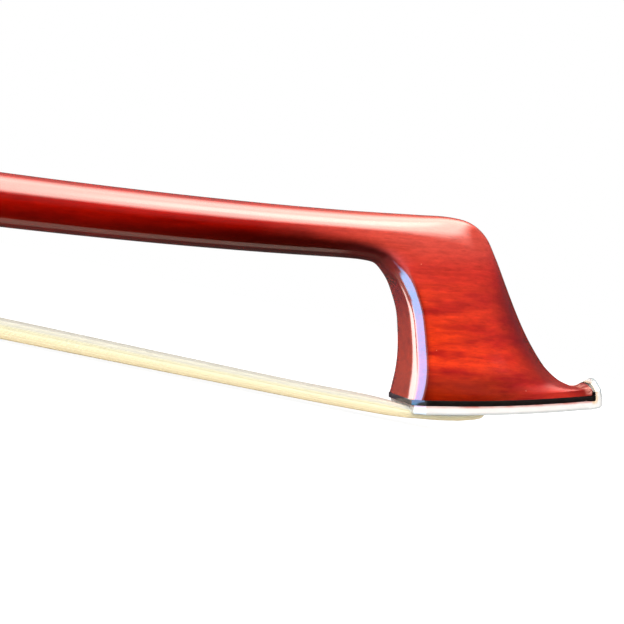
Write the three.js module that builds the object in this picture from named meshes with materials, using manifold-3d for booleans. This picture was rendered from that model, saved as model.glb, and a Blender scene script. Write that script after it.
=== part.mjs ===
// A cello bow: stick with its head, tip plate, hair, frog with its fittings, and the adjusting screw.
//
// Millimetres. +X points from the button to the head, +Z up, and the bow stands hair down on Z = 0, on the
// ferrule and on the hair behind the head. X = 0 is half way along, Y = 0 is the bow's plane of symmetry.
// Two drawing frames are used beside this one. The head frame starts at the rear lower edge of the tip plate,
// with x along the plate to the beak. The handle frame starts at the butt of the stick, with u along its axis
// and w up; places on the frog are given from the back of its heel, as f, with the hair let down.

import * as THREE from "three";
import { mergeVertices } from "three/addons/utils/BufferGeometryUtils.js";
import Module from "manifold-3d";

const wasm = await Module();
wasm.setup();

const { degToRad, lerp, smoothstep } = THREE.MathUtils;

// Whole bow
const BOW_LENGTH = 716; // beak to the end of the button
const HEAD_PITCH = degToRad(11.9); // tip plate against the hair
const HANDLE_PITCH = degToRad(4.5); // handle against the hair
const PLATE_CLEARANCE = 1.56; // rear edge of the tip plate over the surface
const GLUE_GAP = 0.05; // between pieces that are glued, pinned or driven together
const RUNNING_GAP = 0.1; // between pieces that turn or slide
const OVERRUN = 1; // how far a cutter passes a face

// Stick
const HANDLE_FLATS = 10.4; // across the flats of the octagon
const HANDLE_LENGTH = 150; // straight part, from the butt
const OCTAGON_LENGTH = 108; // where the octagon starts to turn round
const OCTAGON_FADE = 30; // length of that change
const NECK_DIAMETER = 6.45; // behind the head
const NECK_SETBACK = 11.26; // centre of the neck behind the plate
const NECK_RISE = 24.2; // centre of the neck over the plate's face
const NECK_DROOP = degToRad(2.9); // stick against the tip plate
const STICK_TAPER_POWER = 1.5; // the taper quickens toward the head
const CAMBER_HANDLE_REACH = 130; // how far each end's direction carries into the camber
const CAMBER_NECK_REACH = 140;
const NIPPLE_DIAMETER = 6.2;
const NIPPLE_LENGTH = 4;

// Head, in the head frame
const HEAD_LENGTH = 29.8; // along the plate
const HEAD_HEIGHT = 26.9; // plate's face to the top of the head
const PLATE_THICKNESS = 1.02;
const LINER_THICKNESS = 0.93;
const CHEEK_HALF_MAX = 5.7; // half width over the cheeks, at the plate
const CHEEK_HALF_REAR = 5.58;
const BEAK_HALF = 2;
const BEAK_ROUNDING = 1.1; // length of the rounded end of the plate
const THROAT_HALF_PLATE = 4.75; // half width of the throat's flat, at the plate and at the stick
const THROAT_HALF_NECK = 3.05;
const THROAT_BEVEL_RUN = 1.3; // bevel between the throat and each cheek
const THROAT_BEVEL_INSET = 0.87;
const RIDGE_DEPTH = 1.75; // the two facets in front, square to the ridge
const RIDGE_HALF = 3;
const NOSE_DEPTH = 0.3; // roundness left at the blunt end behind the curl
const CURL_HEIGHT = 4.2; // the plate turns up over the beak
const CURL_THICKNESS = 1.2;
const CURL_CORNER = 0.95;
const CURL_TIP = 0.8; // bevel on top of the curl
const CURL_LEAN = degToRad(17);
const LINER_CURL_THICKNESS = 0.6;
const LINER_CURL_DROP = 0.3; // under the curl's top

const CHEEK_WIDEST_SHARE = 0.22; // of the head's length
const CHEEK_NARROWING_POWER = 1.55;
const CHEEK_BULGE_POWER = 1.6; // fullness of a cheek between the throat and the ridge
const THROAT_WIDENING_POWER = 2.5;

// The throat and the front of the head, as pairs that each section runs between. Each row has the throat's
// place, then the front's: along the head's length, and from the wood's seat on the liner to the head's top.
const HEAD_PAIR_SHARES = [
  [-0.289, 0.757, -0.232, 1.012],
  [-0.208, 0.7487, -0.087, 1.0052],
  [-0.141, 0.7302, 0.06, 0.9988],
  [-0.0923, 0.6818, 0.201, 0.9911],
  [-0.052, 0.6214, 0.309, 0.9609],
  [-0.0211, 0.5409, 0.393, 0.8832],
  [0, 0.4563, 0.4497, 0.7624],
  [0.0094, 0.3677, 0.5067, 0.6093],
  [0.0141, 0.2871, 0.5604, 0.4664],
  [0.0154, 0.2227, 0.6107, 0.3455],
  [0.0134, 0.1663, 0.6644, 0.2388],
  [0.0091, 0.118, 0.7181, 0.1522],
  [0.0034, 0.0777, 0.7819, 0.0878],
  [-0.0017, 0.0455, 0.8456, 0.0516],
  [-0.005, 0.0221, 0.8926, 0.0367],
  [-0.0074, 0.0093, 0.935, 0.033],
  [-0.0091, 0, 0.94, 0],
];
const ROUND_UNTIL_PAIR = 2; // the section stays round up to here
const THROAT_FORMED_PAIR = 6; // the throat's flat and bevels are full from here
const RIDGE_FROM_PAIR = 5; // the ridge rises out of the round top from here
const RIDGE_FORMED_PAIR = 9;
const PLAN_FROM_PAIR = 9; // the cheeks take the plate's outline from here
const PLAN_FORMED_PAIR = 15;
const NOSE_FROM_PAIR = 13; // the ridge broadens into the blunt end from here

// Mortise in the head, with its plug and knot
const HEAD_MORTISE_REAR = 3;
const HEAD_MORTISE_FRONT = 11;
const HEAD_MORTISE_WIDTH = 7.6;
const HEAD_MORTISE_DEPTH = 6.6; // from the plate's face
const HEAD_PLUG_DEPTH = 4.6;
const KNOT_DIAMETER = 1.7;
const KNOT_LENGTH = 6.4;

// Hair
const HAIR_WIDTH_HEAD = 7.3; // in the mortises
const HAIR_WIDTH_FREE_HEAD = 8.4;
const HAIR_WIDTH_FROG = 10.6;
const HAIR_THICK_FREE = 1.85; // let down, the hair lies loose behind the head
const HAIR_THICK_BELLY = 2.3; // and fuller further back
const HAIR_THICK_FOLD = 0.9; // drawn tight over a plug
const HAIR_THICK_EDGE = 0.62; // pinched at the plate's rear edge
const HAIR_THICK_FERRULE = 1.2;
const HAIR_LOOSENING = 4.4; // length over which it fills out behind the plate
const HAIR_LOOSE_LIFT = 0.42; // underside there, over the surface
const HAIR_LIFT_RUN = 15; // length over which it rises to the plate
const HAIR_BELLY_RUN = 70; // from the plate to where it is fullest
const HAIR_PINCH_SHARE = 0.4; // of the way to the mortise, where it is still full
const BEND_SHARES = [0.35, 0.6, 0.75]; // of the fold's thickness, round a bend
const RIBBON_CORNER_SHARE = 0.25; // of the thickness

// Frog
const FROG_SETBACK = 8.5; // heel to butt with the hair let down
const FROG_LENGTH = 50; // heel to the front of the ferrule
const FROG_DEPTH = 24.9; // stick's axis to the slide's face
const FROG_TOP_DEPTH = 2.5; // the cheeks end this far under the axis
const FROG_HALF_TOP = 6.5;
const FROG_HALF_WAIST = 5.9;
const FROG_HALF_BOTTOM = 7.35;
const FROG_WAIST_DEPTH = 11; // narrowest place of the sides
const NOSE_REACH = 43.5; // heel to the tip under the stick
const NOSE_THICKNESS = 3; // under the stick, at the tip
const NOSE_ROUND = 1.2;
const COVE_NOSE_REACH = 12; // how far each end's direction carries into the thumb's cove
const COVE_FERRULE_REACH = 9;
const COVE_NOSE_DROP = 0.5;
const COVE_FERRULE_RISE = 2.2;
const COVE_STATIONS = 12; // across the cove

const UNDERSLIDE_THICKNESS = 0.4;
const UNDERSLIDE_SETBACK = 0.8; // from the heel and from the tip
const LINING_SCREW_DIAMETER = 1.4;
const LINING_SCREW_LENGTH = 4;
const LINING_SCREW_SETBACK = 4.5; // from each end of the underslide

const HEEL_PLATE_THICKNESS = 0.7;
const HEEL_PLATE_REACH = 10.5; // along the bottom
const HEEL_PLATE_TOP_DEPTH = 6.6;
const HEEL_PIN_DIAMETER = 1.1;
const HEEL_PIN_LENGTH = 4;
const HEEL_PIN_BACK_DEPTHS = [10.4, 16.8]; // under the axis
const HEEL_PIN_BOTTOM_REACH = 6;

const SLIDE_WIDTH = 9;
const SLIDE_FLARE = 0.45; // each side of the dovetail, at its root
const SLIDE_PEARL = 0.8;
const SLIDE_BACKING = 0.75;
const HAIR_CHANNEL_DEPTH = 1.35;
const HAIR_CHANNEL_WIDTH = 8.4;
const FROG_MORTISE_REAR = 12;
const FROG_MORTISE_FRONT = 20.5;
const FROG_MORTISE_WIDTH = 7.6;
const FROG_MORTISE_DEPTH = 6.8; // from the channel's floor
const FROG_PLUG_DEPTH = 4.6;

const EYE_FROM_HEEL = 25.6;
const EYE_DEPTH = 12.6;
const EYE_DIAMETER = 6.2;
const EYE_RING_DIAMETER = 8.4;
const EYE_THICKNESS = 1;

// Ferrule and its wedge
const FERRULE_LENGTH = 12.6;
const FERRULE_WIDTH = 14.8;
const FERRULE_HEIGHT = 9.8;
const FERRULE_WALL = 0.6;
const FERRULE_PROUD = 0.5; // past the slide's face
const FERRULE_SIDE = 3.6; // height at which the arch begins
const FERRULE_CORNER = 1.6;
const WEDGE_LENGTH = 8;
const WEDGE_WIDTH = 11;
const WEDGE_TIP_THICKNESS = 0.5;
const WEDGE_SETBACK = 0.5; // from the ferrule's mouth

// Eyelet and screw
const SCREW_DIAMETER = 3.2;
const SCREW_LENGTH = 54; // from the butt to its nose
const SCREW_NOSE_DIAMETER = 2.6;
const SCREW_NOSE_LENGTH = 9;
const SCREW_TANG = 9; // length held by the button
const EYELET_FROM_HEEL = 19;
const EYELET_LENGTH = 5.4; // along the screw
const EYELET_WIDTH = 5;
const EYELET_TOP = 2.7; // over the axis
const EYELET_SHANK_DIAMETER = 3.8;
const EYELET_SHANK_LENGTH = 6.2;
const FROG_TRAVEL = 5.6; // eight turns of the screw
const MORTISE_END_ROOM = 1.6; // free length at each end of the eyelet's travel
const MORTISE_SIDE_ROOM = 0.2;

// Button
const BUTTON_LENGTH = 15; // from the butt
const BUTTON_FLATS = 10.2;
const BUTTON_WAIST_FLATS = 9.4;
const RING_LENGTH = 4.2;
const CAP_LENGTH = 4.6;
const RING_WALL = 1;
const CAP_BEVEL = 0.9;
const CAP_FLOOR = 1.8;
const BUTTON_PEARL_DIAMETER = 5.6;
const BUTTON_PEARL_THICKNESS = 0.8;

// Grip
const LEATHER_LENGTH = 30;
const LEATHER_THICKNESS = 1;
const LEATHER_SETBACK = 0.8; // from the tip of the frog
const LEATHER_SKIVE = 4; // thinned length at each end
const LAPPING_LENGTH = 64;
const LAPPING_THICKNESS = 0.4;

// Facets
const HALF_RING_STEPS = 16;
const CAMBER_RINGS = 24;
const FADE_RINGS = 4;
const HEAD_RINGS_PER_PAIR = 2;
const PLAN_STEPS = 14;
const ARC_STEPS = 6;
const COVE_STEPS = 12;
const SIDE_STEPS = 10;
const ROUND_STEPS = 24;
const MERGE_DISTANCE = 1e-4;

const MATERIALS = {
  wood: finish(0x8e1f0e, 0.28, 0),
  ebony: finish(0x15110f, 0.35, 0),
  bone: finish(0xf2efe4, 0.35, 0),
  hair: finish(0xeadfb4, 0.6, 0),
  softwood: finish(0xc9a877, 0.7, 0),
  thread: finish(0xb32a20, 0.8, 0),
  nickel: finish(0xc9c8c2, 0.28, 1),
  brass: finish(0xb8934a, 0.35, 1),
  steel: finish(0x9a9c9f, 0.35, 1),
  pearl: finish(0xe6e4dd, 0.2, 0),
  leather: finish(0x1d1512, 0.6, 0),
};

function finish(color, roughness, metalness) {
  return new THREE.MeshStandardMaterial({ color, roughness, metalness });
}

// Places that follow from the sizes
const WOOD_SEAT = PLATE_THICKNESS + LINER_THICKNESS + 2 * GLUE_GAP; // wood over the plate's face
const CHANNEL_FLOOR = FROG_DEPTH - SLIDE_PEARL - SLIDE_BACKING - GLUE_GAP - HAIR_CHANNEL_DEPTH;
const FERRULE_FROM_HEEL = FROG_LENGTH - FERRULE_LENGTH;
const FERRULE_BASE = FROG_DEPTH + FERRULE_PROUD;
const UNDERSLIDE_FLATS = HANDLE_FLATS + 2 * RUNNING_GAP;
const CHANNEL_FLATS = UNDERSLIDE_FLATS + 2 * (UNDERSLIDE_THICKNESS + GLUE_GAP);
const EYELET_FROM_BUTT = FROG_SETBACK + EYELET_FROM_HEEL;

const headFrame = frameAt(
  BOW_LENGTH / 2 - (HEAD_LENGTH - CURL_CORNER) * Math.cos(HEAD_PITCH)
    + CURL_CORNER * Math.sin(HEAD_PITCH) - CURL_CORNER,
  PLATE_CLEARANCE,
  -HEAD_PITCH,
);
const handleFrame = frameAt(
  -BOW_LENGTH / 2 + BUTTON_LENGTH * Math.cos(HANDLE_PITCH)
    + (BUTTON_FLATS / 2 - CAP_BEVEL) * Math.sin(HANDLE_PITCH),
  (FROG_SETBACK + FROG_LENGTH) * Math.sin(HANDLE_PITCH) + FERRULE_BASE * Math.cos(HANDLE_PITCH),
  HANDLE_PITCH,
);

function frameAt(x, z, pitch) {
  return new THREE.Matrix4().makeRotationY(pitch).setPosition(x, 0, z);
}

function placed(frame, along, up) {
  const point = new THREE.Vector3(along, 0, up).applyMatrix4(frame);
  return new THREE.Vector2(point.x, point.z);
}

// Solids: a geometry becomes a solid to be cut or joined, and a solid becomes a named mesh
function toSolid(geometry) {
  const bare = geometry.clone();
  for (const name of Object.keys(bare.attributes)) {
    if (name !== "position") bare.deleteAttribute(name);
  }
  const merged = mergeVertices(bare, MERGE_DISTANCE);
  return new wasm.Manifold(new wasm.Mesh({
    numProp: 3,
    vertProperties: new Float32Array(merged.attributes.position.array),
    triVerts: new Uint32Array(merged.index.array),
  }));
}

function toGeometry(solid) {
  const { vertProperties, triVerts } = solid.getMesh();
  const geometry = new THREE.BufferGeometry();
  geometry.setAttribute("position", new THREE.BufferAttribute(vertProperties, 3));
  geometry.setIndex(new THREE.BufferAttribute(triVerts, 1));
  geometry.computeVertexNormals();
  return geometry;
}

function piece(name, shape, material) {
  const geometry = shape.isBufferGeometry ? shape : toGeometry(shape);
  const mesh = new THREE.Mesh(geometry, material);
  mesh.name = name;
  return mesh;
}

// Prisms from an outline: across the bow, along it, or upward
function extruded(outline, depth) {
  const shape = new THREE.Shape(outline.map(([a, b]) => new THREE.Vector2(a, b)));
  return new THREE.ExtrudeGeometry(shape, { depth, bevelEnabled: false });
}

function prismAcross(outline, half) {
  return extruded(outline, 2 * half).rotateX(Math.PI / 2).translate(0, half, 0);
}

const alongBasis = new THREE.Matrix4().makeBasis(
  new THREE.Vector3(0, 1, 0), new THREE.Vector3(0, 0, 1), new THREE.Vector3(1, 0, 0),
);

function prismAlong(outline, start, end) {
  return extruded(outline, end - start).applyMatrix4(alongBasis).translate(start, 0, 0);
}

function prismUp(outline, bottom, top) {
  return extruded(outline, top - bottom).translate(0, 0, bottom);
}

function box(start, end, half, bottom, top) {
  return new THREE.BoxGeometry(end - start, 2 * half, top - bottom)
    .translate((start + end) / 2, 0, (bottom + top) / 2);
}

function rodAlong(diameter, start, end, steps = ROUND_STEPS) {
  return new THREE.CylinderGeometry(diameter / 2, diameter / 2, end - start, steps)
    .rotateZ(-Math.PI / 2)
    .translate((start + end) / 2, 0, 0);
}

function rodAcross(diameter, start, end) {
  return new THREE.CylinderGeometry(diameter / 2, diameter / 2, end - start, ROUND_STEPS)
    .translate(0, (start + end) / 2, 0);
}

function rodUp(diameter, start, end, steps = ROUND_STEPS) {
  return new THREE.CylinderGeometry(diameter / 2, diameter / 2, end - start, steps)
    .rotateX(Math.PI / 2)
    .translate(0, 0, (start + end) / 2);
}

// A closed skin over rings of points; the ends are closed with a fan, or joined to each other
function loft(rings, joined = false) {
  const count = rings[0].length;
  const positions = rings.flat().flatMap((p) => [p.x, p.y, p.z]);
  const faces = [];
  const bands = joined ? rings.length : rings.length - 1;
  for (let i = 0; i < bands; i += 1) {
    const here = i * count;
    const next = ((i + 1) % rings.length) * count;
    for (let k = 0; k < count; k += 1) {
      const along = (k + 1) % count;
      faces.push(here + k, next + k, next + along, here + k, next + along, here + along);
    }
  }
  if (!joined) {
    closeEnd(rings[0], 0, false, positions, faces);
    closeEnd(rings.at(-1), (rings.length - 1) * count, true, positions, faces);
  }
  if (enclosedVolume(positions, faces) < 0) faces.reverse();
  const geometry = new THREE.BufferGeometry();
  geometry.setAttribute("position", new THREE.Float32BufferAttribute(positions, 3));
  geometry.setIndex(faces);
  return geometry;
}

function closeEnd(ring, first, last, positions, faces) {
  const centre = new THREE.Vector3();
  ring.forEach((p) => centre.add(p));
  centre.divideScalar(ring.length);
  const hub = positions.length / 3;
  positions.push(centre.x, centre.y, centre.z);
  for (let k = 0; k < ring.length; k += 1) {
    const along = (k + 1) % ring.length;
    if (last) faces.push(first + k, hub, first + along);
    else faces.push(first + k, first + along, hub);
  }
}

function enclosedVolume(positions, faces) {
  const corner = (i) => new THREE.Vector3().fromArray(positions, 3 * i);
  let volume = 0;
  for (let i = 0; i < faces.length; i += 3) {
    volume += corner(faces[i]).dot(corner(faces[i + 1]).cross(corner(faces[i + 2])));
  }
  return volume;
}

// A full ring from half an outline: rise from the section's foot and reach to the side, foot to top
function sectionRing(foot, up, half) {
  const side = (sign) => ({ rise, reach }) =>
    new THREE.Vector3(foot.x + up.x * rise, sign * reach, foot.y + up.y * rise);
  return [...half.map(side(1)), ...half.slice(1, -1).reverse().map(side(-1))];
}

// The stick's section: an octagon with a flat on top that turns round
function stickHalf(flats, roundness, offset = 0) {
  const apothem = flats / 2 + offset;
  const facet = Math.PI / 4;
  const half = [];
  for (let k = 0; k <= HALF_RING_STEPS; k += 1) {
    const angle = (Math.PI * k) / HALF_RING_STEPS;
    const fromFlat = ((angle + facet / 2) % facet) - facet / 2;
    const radius = lerp(apothem / Math.cos(fromFlat), apothem, roundness);
    half.push({ rise: apothem - radius * Math.cos(angle), reach: radius * Math.sin(angle) });
  }
  return half;
}

const camber = camberCurve();
const STICK_RUN = HANDLE_LENGTH + camber.getLength();

function camberCurve() {
  const start = placed(handleFrame, HANDLE_LENGTH, 0);
  const end = placed(headFrame, -NECK_SETBACK, NECK_RISE);
  const rise = HEAD_PITCH - NECK_DROOP;
  const leave = placed(handleFrame, HANDLE_LENGTH + CAMBER_HANDLE_REACH, 0);
  const arrive = new THREE.Vector2(
    end.x - CAMBER_NECK_REACH * Math.cos(rise),
    end.y - CAMBER_NECK_REACH * Math.sin(rise),
  );
  return new THREE.CubicBezierCurve(start, leave, arrive, end);
}

function stickFlats(distance) {
  const share = Math.max(0, (distance - OCTAGON_LENGTH) / (STICK_RUN - OCTAGON_LENGTH));
  return lerp(HANDLE_FLATS, NECK_DIAMETER, share ** STICK_TAPER_POWER);
}

function stickRoundness(distance) {
  return smoothstep(distance, OCTAGON_LENGTH, OCTAGON_LENGTH + OCTAGON_FADE);
}

// The stick's centre and its upward direction: straight through the handle, then along the camber
function stickAxis(distance) {
  if (distance <= HANDLE_LENGTH) {
    return {
      centre: placed(handleFrame, distance, 0),
      up: new THREE.Vector2(Math.sin(HANDLE_PITCH), Math.cos(HANDLE_PITCH)),
    };
  }
  const share = Math.min(1, (distance - HANDLE_LENGTH) / (STICK_RUN - HANDLE_LENGTH));
  const ahead = camber.getTangentAt(share);
  return { centre: camber.getPointAt(share), up: new THREE.Vector2(-ahead.y, ahead.x) };
}

function stickRing(distance, offset = 0) {
  const flats = stickFlats(distance);
  const { centre, up } = stickAxis(distance);
  const foot = centre.clone().addScaledVector(up, -flats / 2 - offset);
  return sectionRing(foot, up, stickHalf(flats, stickRoundness(distance), offset));
}

// Places between two distances where the stick's section or direction changes, or the bare handle ends
function stickStations(start, end) {
  const bareEnd = FROG_SETBACK + NOSE_REACH;
  const fade = Array.from({ length: FADE_RINGS + 1 }, (_, i) =>
    OCTAGON_LENGTH + (OCTAGON_FADE * i) / FADE_RINGS);
  const curve = Array.from({ length: CAMBER_RINGS }, (_, i) =>
    lerp(HANDLE_LENGTH, STICK_RUN, i / CAMBER_RINGS));
  const between = [bareEnd, ...fade, ...curve].filter((distance) => distance > start && distance < end);
  return [start, ...between.sort((a, b) => a - b), end];
}

// Outline of the tip plate, seen from below: half width at a place along it
function planHalf(x) {
  const widest = CHEEK_WIDEST_SHARE * HEAD_LENGTH;
  if (x < widest) {
    const back = (widest - x) / widest;
    return CHEEK_HALF_MAX - (CHEEK_HALF_MAX - CHEEK_HALF_REAR) * back ** 2;
  }
  const run = Math.min(1, (x - widest) / (HEAD_LENGTH - widest));
  return BEAK_HALF + (CHEEK_HALF_MAX - BEAK_HALF) * (1 - run ** CHEEK_NARROWING_POWER);
}

function throatHalf(z) {
  const down = Math.min(1, Math.max(0, 1 - z / HEAD_HEIGHT));
  return THROAT_HALF_NECK + (THROAT_HALF_PLATE - THROAT_HALF_NECK) * down ** THROAT_WIDENING_POWER;
}

// Half a section of the round neck, drawn out to the section's depth
function neckHalf(depth) {
  const radius = NECK_DIAMETER / 2;
  const half = [];
  for (let k = 0; k <= HALF_RING_STEPS; k += 1) {
    const angle = (Math.PI * k) / HALF_RING_STEPS;
    const fromFoot = radius - radius * Math.cos(angle);
    const beyond = k > HALF_RING_STEPS / 2 ? depth - 2 * radius : 0;
    const middle = k === HALF_RING_STEPS / 2 ? (depth - 2 * radius) / 2 : beyond;
    half.push({ rise: fromFoot + middle, reach: radius * Math.sin(angle) });
  }
  return half;
}

// Half a section of the carved head: throat's flat, bevel, cheek, and the facet up to the ridge
function carvedHalf(depth, foot, up, pair) {
  const plan = smoothstep(pair, PLAN_FROM_PAIR, PLAN_FORMED_PAIR);
  const blunt = smoothstep(pair, NOSE_FROM_PAIR, PLAN_FORMED_PAIR);
  const bevelStep = HALF_RING_STEPS / 4;
  const ridgeStep = HALF_RING_STEPS - 3;
  const flat = throatHalf(foot.y);
  const facet = lerp(RIDGE_DEPTH, NOSE_DEPTH, blunt);
  const reachAt = (rise, carved) => lerp(carved, planHalf(foot.x + up.x * rise), plan);
  const edge = { rise: THROAT_BEVEL_RUN, reach: reachAt(THROAT_BEVEL_RUN, flat + THROAT_BEVEL_INSET) };
  const crest = { rise: depth - facet, reach: reachAt(depth - facet, RIDGE_HALF) };
  const half = [];
  for (let k = 0; k <= HALF_RING_STEPS; k += 1) {
    if (k <= bevelStep / 2) {
      half.push({ rise: 0, reach: (flat * k) / (bevelStep / 2) });
    } else if (k <= bevelStep) {
      const share = (k - bevelStep / 2) / (bevelStep / 2);
      half.push({ rise: edge.rise * share, reach: lerp(flat, edge.reach, share) });
    } else if (k <= ridgeStep) {
      const share = (k - bevelStep) / (ridgeStep - bevelStep);
      const rise = lerp(edge.rise, crest.rise, share);
      const carved = lerp(RIDGE_HALF, flat + THROAT_BEVEL_INSET, 1 - share ** CHEEK_BULGE_POWER);
      half.push({ rise, reach: reachAt(rise, carved) });
    } else {
      const share = (k - ridgeStep) / (HALF_RING_STEPS - ridgeStep);
      half.push({ rise: lerp(crest.rise, depth, share), reach: crest.reach * (1 - share) });
    }
  }
  return half;
}

const headPairs = HEAD_PAIR_SHARES.map(([throatX, throatZ, frontX, frontZ]) => ({
  throat: new THREE.Vector2(throatX * HEAD_LENGTH, lerp(WOOD_SEAT, HEAD_HEIGHT, throatZ)),
  front: new THREE.Vector2(frontX * HEAD_LENGTH, lerp(WOOD_SEAT, HEAD_HEIGHT, frontZ)),
}));

function neckPair() {
  const centre = new THREE.Vector2(-NECK_SETBACK, NECK_RISE);
  const up = new THREE.Vector2(Math.sin(NECK_DROOP), Math.cos(NECK_DROOP));
  return {
    throat: centre.clone().addScaledVector(up, -NECK_DIAMETER / 2),
    front: centre.clone().addScaledVector(up, NECK_DIAMETER / 2),
  };
}

function headRings() {
  const pairs = [neckPair(), ...headPairs];
  const throat = new THREE.SplineCurve(pairs.map((pair) => pair.throat));
  const front = new THREE.SplineCurve(pairs.map((pair) => pair.front));
  const last = pairs.length - 1;
  const rings = [];
  for (let i = 0; i <= last * HEAD_RINGS_PER_PAIR; i += 1) {
    const pair = i / HEAD_RINGS_PER_PAIR;
    const foot = throat.getPoint(pair / last);
    const top = front.getPoint(pair / last);
    const up = top.clone().sub(foot).normalize();
    const depth = top.distanceTo(foot);
    rings.push(sectionRing(foot, up, headHalf(depth, foot, up, pair))
      .map((p) => p.applyMatrix4(headFrame)));
  }
  return rings;
}

function headHalf(depth, foot, up, pair) {
  const neck = neckHalf(depth);
  const carved = carvedHalf(depth, foot, up, pair);
  const throatShare = smoothstep(pair, ROUND_UNTIL_PAIR, THROAT_FORMED_PAIR);
  const ridgeShare = smoothstep(pair, RIDGE_FROM_PAIR, RIDGE_FORMED_PAIR);
  return neck.map((point, k) => {
    const toRidge = smoothstep(k, HALF_RING_STEPS / 4, (3 * HALF_RING_STEPS) / 4);
    const share = lerp(throatShare, ridgeShare, toRidge);
    return {
      rise: lerp(point.rise, carved[k].rise, share),
      reach: lerp(point.reach, carved[k].reach, share),
    };
  });
}

function makeStick() {
  const handleToNeck = stickStations(0, STICK_RUN).slice(0, -1).map((distance) => stickRing(distance));
  const rings = [...handleToNeck, ...headRings()];
  const nipple = rodAlong(NIPPLE_DIAMETER, -NIPPLE_LENGTH, OVERRUN).applyMatrix4(handleFrame);
  let stick = toSolid(loft(rings)).add(toSolid(nipple));
  for (const cutter of [...handleCutters().map((c) => c.applyMatrix4(handleFrame)),
    ...headCutters().map((c) => c.applyMatrix4(headFrame))]) {
    stick = stick.subtract(toSolid(cutter));
  }
  return piece("stick", stick, MATERIALS.wood);
}

// Screw hole from the butt, bearing for the screw's nose, and the mortise that the eyelet travels in
function handleCutters() {
  const reach = EYELET_LENGTH / 2 + MORTISE_END_ROOM;
  const rear = EYELET_FROM_BUTT - FROG_TRAVEL - reach;
  const front = EYELET_FROM_BUTT + reach;
  const noseStart = SCREW_LENGTH - SCREW_NOSE_LENGTH;
  return [
    rodAlong(SCREW_DIAMETER + 2 * RUNNING_GAP, -NIPPLE_LENGTH - OVERRUN, noseStart),
    rodAlong(SCREW_NOSE_DIAMETER + 2 * RUNNING_GAP, noseStart - OVERRUN, SCREW_LENGTH + MORTISE_END_ROOM),
    box(rear, front, EYELET_WIDTH / 2 + MORTISE_SIDE_ROOM, -HANDLE_FLATS, EYELET_TOP + MORTISE_SIDE_ROOM),
  ];
}

// Mortise for the hair's knot, and the leaning end that the curl lies against
function headCutters() {
  const woodEnd = (z) => curlInner(z) - LINER_CURL_THICKNESS - 2 * GLUE_GAP;
  const over = CURL_HEIGHT + OVERRUN;
  return [
    headMortise(),
    prismAcross([
      [woodEnd(-OVERRUN), -OVERRUN],
      [HEAD_LENGTH + OVERRUN, -OVERRUN],
      [HEAD_LENGTH + OVERRUN, over],
      [woodEnd(over), over],
    ], CHEEK_HALF_MAX + OVERRUN),
  ];
}

function headMortise() {
  return box(HEAD_MORTISE_REAR, HEAD_MORTISE_FRONT, HEAD_MORTISE_WIDTH / 2, -OVERRUN, HEAD_MORTISE_DEPTH);
}

// The curl's two faces lean back alike
function curlInner(z) {
  return HEAD_LENGTH - CURL_THICKNESS - (z - PLATE_THICKNESS) * Math.tan(CURL_LEAN);
}

function curlOuter(z) {
  return HEAD_LENGTH - (z - CURL_CORNER) * Math.tan(CURL_LEAN);
}

function planOutline(rear) {
  const end = HEAD_LENGTH - BEAK_ROUNDING;
  const half = [[rear, throatHalf(0)]];
  for (let i = 0; i <= PLAN_STEPS; i += 1) {
    const x = lerp(THROAT_BEVEL_RUN, end, i / PLAN_STEPS);
    half.push([x, planHalf(x)]);
  }
  for (let i = 1; i <= ARC_STEPS; i += 1) {
    const angle = (Math.PI / 2) * (i / ARC_STEPS);
    half.push([end + BEAK_ROUNDING * Math.sin(angle), planHalf(end) * Math.cos(angle)]);
  }
  half[half.length - 1][1] = 0;
  return [...half, ...half.slice(0, -1).reverse().map(([x, y]) => [x, -y])];
}

function facingPiece(name, profile, rear, material) {
  const sheet = toSolid(prismAcross(profile, CHEEK_HALF_MAX + OVERRUN));
  const plan = toSolid(prismUp(planOutline(rear), -OVERRUN, CURL_HEIGHT + OVERRUN));
  return piece(name, sheet.intersect(plan).subtract(toSolid(headMortise())), material);
}

function makeTipPlate() {
  const profile = [[-OVERRUN, 0]];
  for (let i = 0; i <= ARC_STEPS; i += 1) {
    const angle = (Math.PI / 2) * (i / ARC_STEPS);
    profile.push([
      HEAD_LENGTH - CURL_CORNER + CURL_CORNER * Math.sin(angle),
      CURL_CORNER - CURL_CORNER * Math.cos(angle),
    ]);
  }
  const shoulder = CURL_HEIGHT - CURL_TIP;
  profile.push(
    [curlOuter(shoulder), shoulder],
    [lerp(curlInner(CURL_HEIGHT), curlOuter(CURL_HEIGHT), CURL_TIP / CURL_THICKNESS), CURL_HEIGHT],
    [curlInner(CURL_HEIGHT), CURL_HEIGHT],
    [curlInner(PLATE_THICKNESS), PLATE_THICKNESS],
    [-OVERRUN, PLATE_THICKNESS],
  );
  return facingPiece("tip_plate", profile, 0, MATERIALS.bone);
}

function makeHeadLiner() {
  const bottom = PLATE_THICKNESS + GLUE_GAP;
  const top = bottom + LINER_THICKNESS;
  const height = CURL_HEIGHT - LINER_CURL_DROP;
  const outer = (z) => curlInner(z) - GLUE_GAP;
  const inner = (z) => outer(z) - LINER_CURL_THICKNESS;
  const profile = [
    [-OVERRUN, bottom],
    [outer(bottom), bottom],
    [outer(height), height],
    [inner(height), height],
    [inner(top), top],
    [-OVERRUN, top],
  ];
  const rear = HEAD_PAIR_SHARES.at(-1)[0] * HEAD_LENGTH;
  return facingPiece("head_liner", profile, rear, MATERIALS.ebony);
}

function makeHeadPlug() {
  const front = HEAD_MORTISE_FRONT - 2 * RUNNING_GAP - HAIR_THICK_FOLD;
  const half = HEAD_MORTISE_WIDTH / 2 - GLUE_GAP;
  const plug = box(HEAD_MORTISE_REAR + GLUE_GAP, front, half, 0, HEAD_PLUG_DEPTH);
  return piece("head_plug", plug, MATERIALS.softwood);
}

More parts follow.
